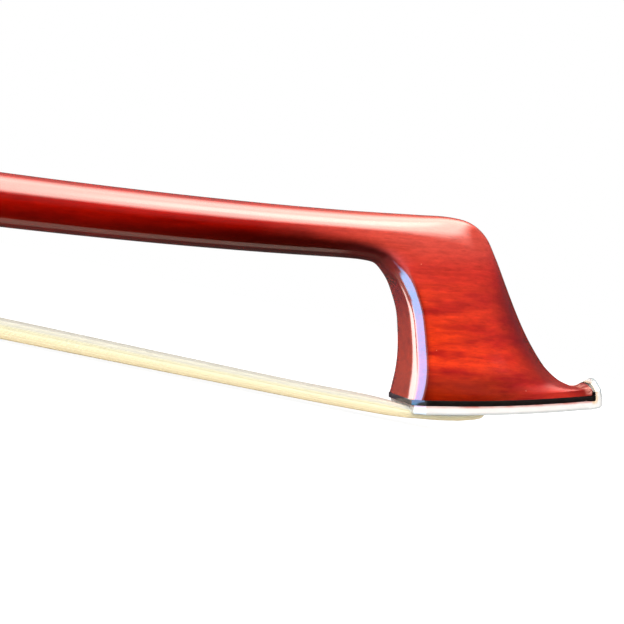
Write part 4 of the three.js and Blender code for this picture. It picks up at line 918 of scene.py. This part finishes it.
def noise(tree, vector, scale, detail=2.0, roughness=0.5, distortion=0.0):
    return add(tree, "ShaderNodeTexNoise", {
        "Vector": vector, "Scale": scale, "Detail": detail, "Roughness": roughness, "Distortion": distortion,
    }).outputs["Fac"]


def remap(tree, value, low, high, to_low=0.0, to_high=1.0, kind="LINEAR"):
    return add(tree, "ShaderNodeMapRange", {
        "Value": value, "From Min": low, "From Max": high, "To Min": to_low, "To Max": to_high,
    }, interpolation_type=kind).outputs["Result"]


def band(tree, value, low, low_end, high_start, high):
    """1 between two limits, with soft sides."""
    rise = remap(tree, value, low, low_end, kind="SMOOTHSTEP")
    return product(tree, rise, remap(tree, value, high_start, high, 1.0, 0.0, "SMOOTHSTEP"))


def blend_colour(tree, share, a, b, blend_type="MIX"):
    node = add(tree, "ShaderNodeMix", {0: share, 6: a, 7: b}, data_type="RGBA", blend_type=blend_type)
    return node.outputs[2]


def group(name, inputs, outputs):
    """A shared effect with named inputs and outputs. An input is a vector unless a number is given for it."""
    tree = bpy.data.node_groups.new(name, "ShaderNodeTree")
    for key, default in inputs.items():
        kind = "NodeSocketFloat" if isinstance(default, float) else "NodeSocketVector"
        socket = tree.interface.new_socket(key, in_out="INPUT", socket_type=kind)
        if default is not None:
            socket.default_value = default
    for key in outputs:
        tree.interface.new_socket(key, in_out="OUTPUT", socket_type="NodeSocketFloat")
    return tree, tree.nodes.new("NodeGroupInput").outputs, tree.nodes.new("NodeGroupOutput").inputs


def wood_figure_group():
    """Long fibres, a broad flame and short dark pores, from coordinates in millimetres along the grain."""
    tree, given, made = group(
        "wood_figure", {"Vector": None, "Fibre Density": 1.0, "Flame Size": 1.0}, ("Fibre", "Flame", "Pores"),
    )
    place, density = given["Vector"], given["Fibre Density"]
    fibre = noise(tree, stretched(tree, place, (0.035, 1.0, 1.0)), density, 5.0, 0.62)
    flame = noise(tree, stretched(tree, place, (0.15, 0.9, 0.5)), given["Flame Size"], 4.0, 0.6, 0.25)
    pores = noise(tree, stretched(tree, place, (0.16, 2.3, 2.3)), density, 1.0, 0.5)
    tree.links.new(remap(tree, fibre, 0.32, 0.68), made["Fibre"])
    tree.links.new(remap(tree, flame, 0.34, 0.68), made["Flame"])
    tree.links.new(remap(tree, pores, 0.66, 0.76), made["Pores"])
    return tree


def dust_group():
    """Small scattered specks: a mask that is 1 on a speck."""
    tree, given, made = group("dust_specks", {"Vector": None, "Spacing": 1.0, "Size": 0.05}, ("Specks",))
    scale = math_node(tree, "DIVIDE", 1.0, given["Spacing"])
    cells = add(tree, "ShaderNodeTexVoronoi", {"Vector": given["Vector"], "Scale": scale, "Randomness": 1.0})
    where = noise(tree, given["Vector"], 0.21, 1.0)
    near = math_node(tree, "LESS_THAN", cells.outputs["Distance"], given["Size"])
    tree.links.new(product(tree, near, math_node(tree, "GREATER_THAN", where, 0.52)), made["Specks"])
    return tree


def wear_group():
    """Where edges stand out and hands rub: 1 on a worn edge, and a cloudiness over the faces."""
    tree, given, made = group("edge_wear", {"Vector": None, "Amount": 0.5, "Cloud Size": 1.0}, ("Edge", "Cloud"))
    edge = remap(tree, add(tree, "ShaderNodeNewGeometry").outputs["Pointiness"], 0.51, 0.57)
    patchy = noise(tree, given["Vector"], given["Cloud Size"], 4.0, 0.6)
    tree.links.new(product(tree, edge, patchy, given["Amount"]), made["Edge"])
    tree.links.new(remap(tree, patchy, 0.3, 0.7), made["Cloud"])
    return tree


def scratch_group():
    """Fine lines of polishing along one direction, as a height."""
    tree, given, made = group("polish_lines", {"Vector": None, "Stretch": (1.0, 1.0, 1.0), "Density": 1.0}, ("Lines",))
    pulled = stretched(tree, given["Vector"], given["Stretch"])
    tree.links.new(noise(tree, pulled, given["Density"], 4.0, 0.7), made["Lines"])
    return tree


SHARED = {tree.name: tree for tree in (wood_figure_group(), dust_group(), wear_group(), scratch_group())}


def shared(tree, name, inputs):
    """A shared effect placed in a material with that material's values."""
    return add(tree, "ShaderNodeGroup", inputs, node_tree=SHARED[name]).outputs


def finish(name, **values):
    """A material whose Principled shader has these plain values, with its tree and its object coordinates in mm."""
    material = bpy.data.materials.new(name)
    material.use_nodes = True
    tree = material.node_tree
    shader = tree.nodes["Principled BSDF"]
    for key, value in values.items():
        shader.inputs[key.replace("_", " ")].default_value = value
    place = add(tree, "ShaderNodeTexCoord").outputs["Object"]
    return material, tree, shader, stretched(tree, place, (1000, 1000, 1000))


def drive(tree, shader, **sockets):
    for key, value in sockets.items():
        tree.links.new(value, shader.inputs[key.replace("_", " ")])


def bump(tree, height, distance, strength=1.0):
    return add(tree, "ShaderNodeBump", {"Height": height, "Distance": distance * MM, "Strength": strength}).outputs[0]


def varnished_wood():
    """Red-brown varnish over figured wood: oranger on the cheeks, with painted shade towards the stick's underside."""
    material, tree, shader, _ = finish(
        "varnished_wood", Roughness=0.42, Coat_Weight=1.0, Coat_Roughness=0.07, Coat_IOR=1.75,
        Coat_Tint=(1.0, 0.62, 0.42, 1.0), Specular_IOR_Level=0.9, Specular_Tint=(1.0, 0.03, 0.008, 1.0),
    )
    grain = stored(tree, "grain", "Vector")
    light = stored(tree, "light")
    run, height, _ = add(tree, "ShaderNodeSeparateXYZ", {0: grain}).outputs
    on_head = remap(tree, run, 646.0, 664.0)
    figure = shared(tree, "wood_figure", {"Vector": grain, "Fibre Density": 1.7, "Flame Size": 0.9})
    broad = noise(tree, stretched(tree, grain, (0.15, 0.42, 0.2)), 1.0, 3.0)
    flame = remap(tree, math_node(tree, "ADD", figure["Flame"], product(tree, broad, 1.6)), 0.6, 1.65)
    cheek = blend_colour(tree, flame, (0.36, 0.004, 0.002, 1), (0.95, 0.085, 0.004, 1))
    # High on the cheek the red is mixed towards pink: a painted reflection of the light from above.
    upper_painted_shading = remap(tree, height, -15.0, -2.0)
    cheek = blend_colour(tree, product(tree, upper_painted_shading, 0.8), cheek, (0.46, 0.042, 0.05, 1))
    cheek = blend_colour(tree, remap(tree, run, 670.0, 688.0, 0.0, 0.75), cheek, (0.5, 0.02, 0.03, 1))
    # A painted sheen: pink glow on the upper cheek, just under the highlight.
    painted_sheen = remap(tree, height, -4.5, 0.5, 0.0, 0.42, "SMOOTHSTEP")
    cheek = blend_colour(tree, painted_sheen, cheek, (0.72, 0.2, 0.2, 1))
    shaft = blend_colour(tree, flame, (0.24, 0.0015, 0.0005, 1), (0.4, 0.006, 0.001, 1))
    red = blend_colour(tree, on_head, shaft, cheek)
    # Painted shade: the red goes nearly black where the stored light is low.
    red = blend_colour(tree, light, (0.012, 0.0006, 0.0006, 1), red)
    mottle = remap(tree, noise(tree, stretched(tree, grain, (0.55, 1.7, 1.7)), 1.0, 4.0, 0.7), 0.3, 0.7, 0.8, 1.16)
    fine = product(tree, remap(tree, figure["Fibre"], 0.0, 1.0, 0.84, 1.08), mottle)
    fibres = add(tree, "ShaderNodeCombineColor", {0: fine, 1: fine, 2: fine}).outputs[0]
    grained = blend_colour(tree, 1.0, red, fibres, "MULTIPLY")
    pored = blend_colour(tree, product(tree, figure["Pores"], 0.25), grained, (0.06, 0.002, 0.001, 1))
    specks = shared(tree, "dust_specks", {"Vector": grain, "Spacing": 1.7, "Size": 0.04})["Specks"]
    dusted = blend_colour(tree, product(tree, specks, 0.5), pored, (0.9, 0.5, 0.4, 1))
    # The toe's worn end is painted pale pink: partly wear, partly a painted highlight on it.
    rubbed = stored(tree, "rubbed")
    patchy = remap(tree, noise(tree, grain, 1.1, 3.0), 0.4, 0.56)
    toe_wear_and_highlight = blend_colour(tree, product(tree, rubbed, patchy), dusted, (1.0, 0.46, 0.38, 1))
    polish = stored(tree, "polish")
    drive(tree, shader, Base_Color=toe_wear_and_highlight, Coat_Weight=polish, Normal=bump(tree, figure["Fibre"], 0.008))
    waves = noise(tree, stretched(tree, grain, (0.05, 0.8, 0.8)), 1.0, 3.0)
    drive(tree, shader, Coat_Normal=bump(tree, waves, 0.02))
    return material


def ebony():
    material, tree, shader, place = finish(
        "ebony", Roughness=0.34, Coat_Weight=0.9, Coat_Roughness=0.07, Coat_IOR=1.45, Specular_IOR_Level=0.1,
    )
    figure = shared(tree, "wood_figure", {"Vector": place, "Fibre Density": 2.2, "Flame Size": 0.5})
    brown = blend_colour(tree, figure["Flame"], (0.0025, 0.002, 0.0022, 1), (0.008, 0.0055, 0.005, 1))
    wear = shared(tree, "edge_wear", {"Vector": place, "Amount": 0.5, "Cloud Size": 0.6})
    worn = blend_colour(tree, wear["Edge"], brown, (0.04, 0.03, 0.026, 1))
    drive(tree, shader, Base_Color=worn, Roughness=remap(tree, wear["Cloud"], 0, 1, 0.26, 0.42),
          Normal=bump(tree, figure["Fibre"], 0.004))
    return material


def bone():
    """Polished bone: faint lines along it, yellower inside the curl, red along the top of its edge under the liner,
    and grey painted shade along its rounded edges."""
    material, tree, shader, place = finish(
        "bone", Coat_Roughness=0.1, Subsurface_Weight=0.1,
        Subsurface_Radius=(1.0, 0.85, 0.7), Subsurface_Scale=0.0005,
    )
    lines = shared(tree, "polish_lines", {"Vector": place, "Stretch": (0.12, 1.6, 1.0), "Density": 2.0})["Lines"]
    pale = blend_colour(tree, remap(tree, lines, 0.35, 0.7), (0.95, 0.945, 0.93, 1), (0.9, 0.885, 0.85, 1))
    wear = shared(tree, "edge_wear", {"Vector": place, "Amount": 0.3, "Cloud Size": 0.35})
    aged = blend_colour(tree, product(tree, wear["Cloud"], 0.14), pale, (0.88, 0.8, 0.66, 1))
    seam = stored(tree, "seam")
    # Red along the top of the plate's edge, under the liner.
    red_band = band(tree, seam, 0.66, 0.98, 1.05, 1.2)
    uneven = remap(tree, noise(tree, stretched(tree, place, (0.5, 1.0, 1.0)), 0.6, 3.0), 0.35, 0.65, 0.45, 1.0)
    tinted_and_shaded = blend_colour(tree, product(tree, red_band, uneven), aged, (0.6, 0.16, 0.13, 1))
    hollow = stored(tree, "hollow")
    tinted_and_shaded = blend_colour(tree, product(tree, hollow, 0.8), tinted_and_shaded, (0.9, 0.62, 0.36, 1))
    # Painted shade: the rounded edges and the curl's tongue are painted grey, and less glossy.
    rim = stored(tree, "rim")
    tinted_and_shaded = blend_colour(tree, rim, tinted_and_shaded, (0.33, 0.37, 0.38, 1))
    drive(tree, shader, Base_Color=tinted_and_shaded, Normal=bump(tree, lines, 0.006),
          Coat_Weight=remap(tree, rim, 0.0, 1.0, 0.6, 0.0), Roughness=remap(tree, rim, 0.0, 1.0, 0.3, 0.7))
    return material


def horsehair():
    material, tree, shader, place = finish(
        "horsehair", Roughness=0.5, Specular_IOR_Level=0.12,
    )
    # strand holds painted shade on the upper strands (grey), mixed with a random tone.
    strand = stored(tree, "strand")
    warm = blend_colour(tree, strand, (1.0, 0.94, 0.62, 1), (0.6, 0.59, 0.54, 1))
    through = stored(tree, "through")
    warm = blend_colour(tree, remap(tree, through, 0.4, 1.0, 0.0, 0.85), warm, (0.98, 0.78, 0.46, 1))
    tone = noise(tree, stretched(tree, place, (0.006, 1.3, 1.3)), 1.0, 3.0)
    shaded = blend_colour(tree, remap(tree, tone, 0.5, 0.75, 0.0, 0.22), warm, (0.7, 0.64, 0.48, 1))
    scales = noise(tree, stretched(tree, place, (3.0, 6.0, 6.0)), 1.0, 2.0)
    drive(tree, shader, Base_Color=shaded, Normal=bump(tree, scales, 0.008, 0.5))
    return material


def metal(name, colour, tarnish, roughness, stretch=(0.25, 3.0, 3.0)):
    """Polished metal with fine lines, a cloudy tarnish and bright edges."""
    material, tree, shader, place = finish(name, Metallic=1.0)
    lines = shared(tree, "polish_lines", {"Vector": place, "Stretch": stretch, "Density": 3.0})["Lines"]
    wear = shared(tree, "edge_wear", {"Vector": place, "Amount": 1.0, "Cloud Size": 0.5})
    toned = blend_colour(tree, product(tree, wear["Cloud"], 0.16), (*colour, 1), (*tarnish, 1))
    bright = blend_colour(tree, wear["Edge"], toned, tuple(min(1, 1.25 * c) for c in colour) + (1,))
    rough = remap(tree, math_node(tree, "ADD", lines, wear["Cloud"]), 0.3, 1.5, roughness, roughness + 0.1)
    drive(tree, shader, Base_Color=bright, Roughness=rough, Normal=bump(tree, lines, 0.0012))
    return material


def pearl():
    material, tree, shader, place = finish(
        "mother_of_pearl", Roughness=0.2, Coat_Weight=1.0, Coat_Roughness=0.05, Metallic=0.2,
    )
    swirl = noise(tree, place, 0.35, 3.0, 0.5, 2.4)
    bands = add(tree, "ShaderNodeTexWave", {
        "Vector": place, "Scale": 0.16, "Distortion": 9.0, "Detail": 3.0, "Detail Scale": 0.6,
    }).outputs["Fac"]
    pink = blend_colour(tree, remap(tree, swirl, 0.35, 0.65), (0.82, 0.68, 0.72, 1), (0.66, 0.82, 0.76, 1))
    cream = blend_colour(tree, bands, pink, (0.92, 0.9, 0.82, 1))
    flashes = noise(tree, place, 1.1, 2.0, 0.5, 1.5)
    drive(tree, shader, Base_Color=cream, Roughness=remap(tree, bands, 0, 1, 0.14, 0.32),
          Normal=bump(tree, flashes, 0.02, 0.5))
    return material


def leather():
    material, tree, shader, place = finish("thumb_leather", Roughness=0.5, Specular_IOR_Level=0.4)
    cells = add(tree, "ShaderNodeTexVoronoi", {"Vector": place, "Scale": 2.6}, feature="DISTANCE_TO_EDGE")
    creases = remap(tree, cells.outputs["Distance"], 0.0, 0.16)
    soft = noise(tree, place, 0.5, 4.0)
    dark = blend_colour(tree, soft, (0.012, 0.009, 0.008, 1), (0.035, 0.026, 0.021, 1))
    wear = shared(tree, "edge_wear", {"Vector": place, "Amount": 0.5, "Cloud Size": 0.4})
    rubbed = blend_colour(tree, wear["Edge"], dark, (0.1, 0.075, 0.06, 1))
    drive(tree, shader, Base_Color=rubbed, Roughness=remap(tree, soft, 0.3, 0.7, 0.42, 0.66),
          Normal=bump(tree, math_node(tree, "ADD", creases, soft), 0.05, 0.8))
    return material


def thread():
    material, tree, shader, place = finish("binding_thread", Roughness=0.8)
    twist = add(tree, "ShaderNodeTexWave", {"Vector": place, "Scale": 0.9, "Distortion": 0.6}, bands_direction="Y")
    red = blend_colour(tree, twist.outputs["Fac"], (0.2, 0.012, 0.01, 1), (0.48, 0.035, 0.025, 1))
    drive(tree, shader, Base_Color=red, Normal=bump(tree, twist.outputs["Fac"], 0.05))
    return material


def softwood():
    material, tree, shader, place = finish("plug_wood", Roughness=0.7)
    figure = shared(tree, "wood_figure", {"Vector": place, "Fibre Density": 2.5, "Flame Size": 1.5})
    pale = blend_colour(tree, figure["Fibre"], (0.52, 0.34, 0.17, 1), (0.7, 0.5, 0.28, 1))
    drive(tree, shader, Base_Color=pale, Normal=bump(tree, figure["Fibre"], 0.02))
    return material


# Pieces, each with its finish under the slot's name, its body and the node that it stands for
FINISHES = {
    "varnished_wood": varnished_wood(), "ebony": ebony(), "bone": bone(), "horsehair": horsehair(),
    "pearl": pearl(), "leather": leather(), "thread": thread(), "softwood": softwood(),
    "nickel_silver": metal("nickel_silver", (0.66, 0.63, 0.57), (0.42, 0.37, 0.28), 0.3),
    "wire": metal("lapping_silver", (0.74, 0.73, 0.7), (0.3, 0.27, 0.22), 0.27),
    "brass": metal("turned_brass", (0.62, 0.42, 0.16), (0.3, 0.17, 0.05), 0.22, (3.0, 0.3, 3.0)),
    "steel": metal("screw_steel", (0.42, 0.42, 0.43), (0.22, 0.2, 0.18), 0.3, (3.0, 0.3, 0.3)),
}


def settle(piece, slot, body, node):
    piece.data.materials.clear()
    piece.data.materials.append(FINISHES[slot])
    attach(piece, body)
    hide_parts(node)


settle(make_stick(), "varnished_wood", "stick", "stick")
settle(make_tip_plate(), "bone", "stick", "tip_plate")
settle(make_liner(), "ebony", "stick", "head_liner")
settle(make_leather(), "leather", "stick", "thumb_leather")
settle(make_lapping(), "wire", "stick", "lapping")

for strand_piece in (make_hair(), make_hair_core()):
    strand_piece.data.materials.append(FINISHES["horsehair"])
    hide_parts("hair_ribbon")
    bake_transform(strand_piece)

EASED = {
    "frog": [
        ("frog_body", "frog_ebony", "ebony", 0.22),
        ("underslide", "underslide_sheet", "nickel_silver", 0.06),
        ("heel_plate", "heel_plate_sheet", "nickel_silver", 0.14),
        ("slide_pearl", "slide_pearl_face", "pearl", 0.1),
        ("slide_backing", "slide_backing_strip", "ebony", 0.05),
        ("ferrule", "ferrule_band", "nickel_silver", 0.12),
        ("ferrule_wedge", "ferrule_wedge_slip", "softwood", 0.05),
        ("frog_plug", "frog_plug_block", "softwood", 0.1),
        ("frog_hair_knot", "frog_knot_binding", "thread", 0.2),
        ("eyelet", "eyelet_nut", "brass", 0.15),
        ("eye_pearl_left", "eye_left_pearl", "pearl", 0.08),
        ("eye_pearl_right", "eye_right_pearl", "pearl", 0.08),
        ("eye_ring_left", "eye_left_ring", "nickel_silver", 0.08),
        ("eye_ring_right", "eye_right_ring", "nickel_silver", 0.08),
        ("heel_pin_1", "heel_pin_upper", "nickel_silver", 0.05),
        ("heel_pin_2", "heel_pin_lower", "nickel_silver", 0.05),
        ("heel_pin_3", "heel_pin_bottom", "nickel_silver", 0.05),
        ("underslide_screw_1", "lining_screw_rear", "brass", 0.05),
        ("underslide_screw_2", "lining_screw_front", "brass", 0.05),
    ],
    "screw": [
        ("adjusting_screw", "screw_shaft", "steel", 0.12),
        ("button_front_ring", "button_ring_front", "nickel_silver", 0.22),
        ("button_core", "button_ebony", "ebony", 0.2),
        ("button_rear_cap", "button_cap", "nickel_silver", 0.2),
        ("button_pearl", "button_eye", "pearl", 0.12),
    ],
    "stick": [
        ("head_plug", "head_plug_block", "softwood", 0.1),
        ("head_hair_knot", "head_knot_binding", "thread", 0.2),
    ],
}
for body_name, pieces in EASED.items():
    for node_name, piece_name, slot_name, easing in pieces:
        settle(eased(node_name, piece_name, easing), slot_name, body_name, node_name)


# Floor, studio and camera
SOFTBOX_STRENGTH, TUBE_STRENGTH, WINDOW_STRENGTH = 7.8, 4.2, 12.5
CAMERA_TURN, CAMERA_ROLL = math.radians(-16.5), math.radians(12.58)
CAMERA_TARGET, CAMERA_DISTANCE = (0.3133, 0, 0.012), 0.2
FOCAL_PIXELS, PICTURE_PIXELS, SENSOR_WIDTH = 1480, 624, 36


def seen_directly(tree):
    """The ray's kinds, and 1 where the camera sees a place itself or through glass."""
    path = add(tree, "ShaderNodeLightPath").outputs
    return path, math_node(tree, "MAXIMUM", path["Is Camera Ray"], path["Is Transmission Ray"])


def white_floor():
    """A floor that looks white and keeps the bow's shadow. Mirror rays pass it and meet the studio instead."""
    bpy.ops.mesh.primitive_plane_add(size=30, location=(0, 0, -0.0002))
    floor = bpy.context.object
    floor.name = "floor"
    material = bpy.data.materials.new("floor_white")
    material.use_nodes = True
    tree = material.node_tree
    tree.nodes.clear()
    path, seen = seen_directly(tree)
    paper = add(tree, "ShaderNodeBsdfDiffuse", {"Color": (0.55, 0.55, 0.55, 1)}).outputs[0]
    clear = add(tree, "ShaderNodeBsdfTransparent").outputs[0]
    shaded = add(tree, "ShaderNodeBsdfDiffuse", {"Color": (0.26, 0.26, 0.26, 1)}).outputs[0]
    place = add(tree, "ShaderNodeTexCoord").outputs["Object"]
    away = add(tree, "ShaderNodeVectorMath", {0: place}, operation="LENGTH").outputs["Value"]
    strength = remap(tree, away, 0.4, 1.0, 0.95, 1.05)
    glow = add(tree, "ShaderNodeEmission", {"Color": (1, 1, 1, 1), "Strength": strength}).outputs[0]
    white = add(tree, "ShaderNodeAddShader", {0: shaded, 1: glow}).outputs[0]
    hidden = add(tree, "ShaderNodeMixShader", {0: path["Is Glossy Ray"], 1: paper, 2: clear}).outputs[0]
    both = add(tree, "ShaderNodeMixShader", {0: seen, 1: hidden, 2: white}).outputs[0]
    add(tree, "ShaderNodeOutputMaterial", {"Surface": both})
    floor.data.materials.append(material)


def studio():
    """White behind everything, and a soft light on the bow from the camera's side. Mirror rays meet a painted room:
    a long warm softbox overhead with a bright tube in it, a cool window to the front left that turns warm at its far
    end, white walls at both sides, a dim middle, and dark parts low behind and at the far right."""
    world = bpy.data.worlds.new("studio")
    bpy.context.scene.world = world
    world.use_nodes = True
    world.cycles.sampling_method = "NONE"
    tree = world.node_tree
    tree.nodes.clear()
    path, seen = seen_directly(tree)
    direction = add(tree, "ShaderNodeTexCoord").outputs["Generated"]
    x, y, z = add(tree, "ShaderNodeSeparateXYZ", {0: direction}).outputs
    front = product(tree, y, -1.0)

    def degrees_band(value, *limits):
        return band(tree, value, *(math.radians(limit) for limit in limits))

    over = math_node(tree, "ARCTAN2", z, front)
    softbox = product(tree, degrees_band(over, 27, 47, 88, 127), band(tree, x, -9, -8, 0.42, 0.64),
                      band(tree, z, 0.12, 0.35, 2, 3))
    tube_light = product(tree, degrees_band(over, 48, 60, 68, 82), band(tree, x, -0.03, 0.11, 0.2, 0.36))
    top = math_node(tree, "ADD", product(tree, softbox, SOFTBOX_STRENGTH), product(tree, tube_light, TUBE_STRENGTH))
    around = math_node(tree, "ARCTAN2", x, front)
    window = product(tree, degrees_band(around, -156, -146, -30, -22), band(tree, z, -0.6, -0.5, 0.3, 0.5),
                     remap(tree, around, math.radians(-148), math.radians(-104), 0.42, 1.0), WINDOW_STRENGTH)
    warmth = remap(tree, around, math.radians(-82), math.radians(-66))
    bluish = blend_colour(tree, remap(tree, z, -0.5, -0.15), (0.12, 0.56, 1.0, 1), (0.28, 0.5, 0.98, 1))
    pane = blend_colour(tree, warmth, (0.9, 0.84, 0.8, 1), bluish)
    ahead = product(tree, degrees_band(over, -3, 24, 178, 179), 0.13)
    dim = blend_colour(tree, remap(tree, y, -0.05, 0.05), ahead, remap(tree, z, 0.4, 0.85, 0.08, 0.5))
    behind = product(tree, band(tree, x, -0.6, -0.45, 0.2, 0.4), remap(tree, y, 0.3, 0.6),
                     remap(tree, z, 0.2, 0.35, 1.0, 0.0))
    right = product(tree, band(tree, x, 0.8, 0.86, 2, 3), band(tree, z, 0.05, 0.2, 0.55, 0.7))
    walls = (1, 1, 1, 1)
    for share, colour in (
        (behind, (0.1, 0.06, 0.1, 1)), (band(tree, x, -0.14, 0.0, 0.85, 0.97), dim), (right, (0.12, 0.1, 0.14, 1)),
    ):
        walls = blend_colour(tree, share, walls, colour)
    mirrored = add(tree, "ShaderNodeBackground", {"Color": walls, "Strength": 1.0}).outputs[0]
    for colour, strength in (((1.0, 0.93, 0.82, 1), top), (pane, window)):
        light = add(tree, "ShaderNodeBackground", {"Color": colour, "Strength": strength}).outputs[0]
        mirrored = add(tree, "ShaderNodeAddShader", {0: mirrored, 1: light}).outputs[0]
    towards = add(tree, "ShaderNodeVectorMath", {0: direction, 1: (-0.3, -0.9, 0.3)}, operation="DOT_PRODUCT")
    soft = remap(tree, towards.outputs["Value"], 0.0, 1.0, 0.12, 1.7)
    fill = add(tree, "ShaderNodeBackground", {"Color": (1, 1, 1, 1), "Strength": soft}).outputs[0]
    white = add(tree, "ShaderNodeBackground", {"Color": (1, 1, 1, 1), "Strength": 1.0}).outputs[0]
    lit = add(tree, "ShaderNodeMixShader", {0: path["Is Glossy Ray"], 1: fill, 2: mirrored}).outputs[0]
    final = add(tree, "ShaderNodeMixShader", {0: seen, 1: lit, 2: white}).outputs[0]
    add(tree, "ShaderNodeOutputWorld", {"Surface": final})


def lamp(name, where, target, size, power, colour):
    data = bpy.data.lights.new(name, "AREA")
    data.shape = "RECTANGLE"
    data.size, data.size_y = size
    data.energy = power
    data.color = colour
    light = bpy.data.objects.new(name, data)
    bpy.context.scene.collection.objects.link(light)
    light.visible_glossy = False  # mirror rays meet the painted studio instead
    light.location = where
    light.rotation_euler = (Vector(target) - Vector(where)).to_track_quat("-Z", "Y").to_euler()


def camera():
    """The photograph's camera: close to the head, level, and rolled."""
    back = Vector((math.sin(CAMERA_TURN), -math.cos(CAMERA_TURN), 0))
    right = Vector((math.cos(CAMERA_TURN), math.sin(CAMERA_TURN), 0))
    up = Vector((0, 0, 1))
    tilted_right = right * math.cos(CAMERA_ROLL) + up * math.sin(CAMERA_ROLL)
    tilted_up = up * math.cos(CAMERA_ROLL) - right * math.sin(CAMERA_ROLL)
    data = bpy.data.cameras.new("camera")
    data.sensor_width = SENSOR_WIDTH
    data.lens = FOCAL_PIXELS / PICTURE_PIXELS * SENSOR_WIDTH
    data.clip_start = 0.01
    cam = bpy.data.objects.new("camera", data)
    bpy.context.scene.collection.objects.link(cam)
    place = Matrix((tilted_right, tilted_up, back)).transposed().to_4x4()
    place.translation = Vector(CAMERA_TARGET) + back * CAMERA_DISTANCE
    cam.matrix_world = place
    bpy.context.scene.camera = cam


white_floor()
studio()
lamp("overhead", (0.0, -0.5, 1.0), (0.0, 0, 0), (1.8, 0.6), 10, (1.0, 0.97, 0.93))
lamp("behind", (0.2, 1.3, 0.7), (0, 0, 0), (1.2, 0.6), 3.5, (1.0, 1.0, 1.0))
camera()
bpy.context.scene.view_settings.view_transform = "Standard"
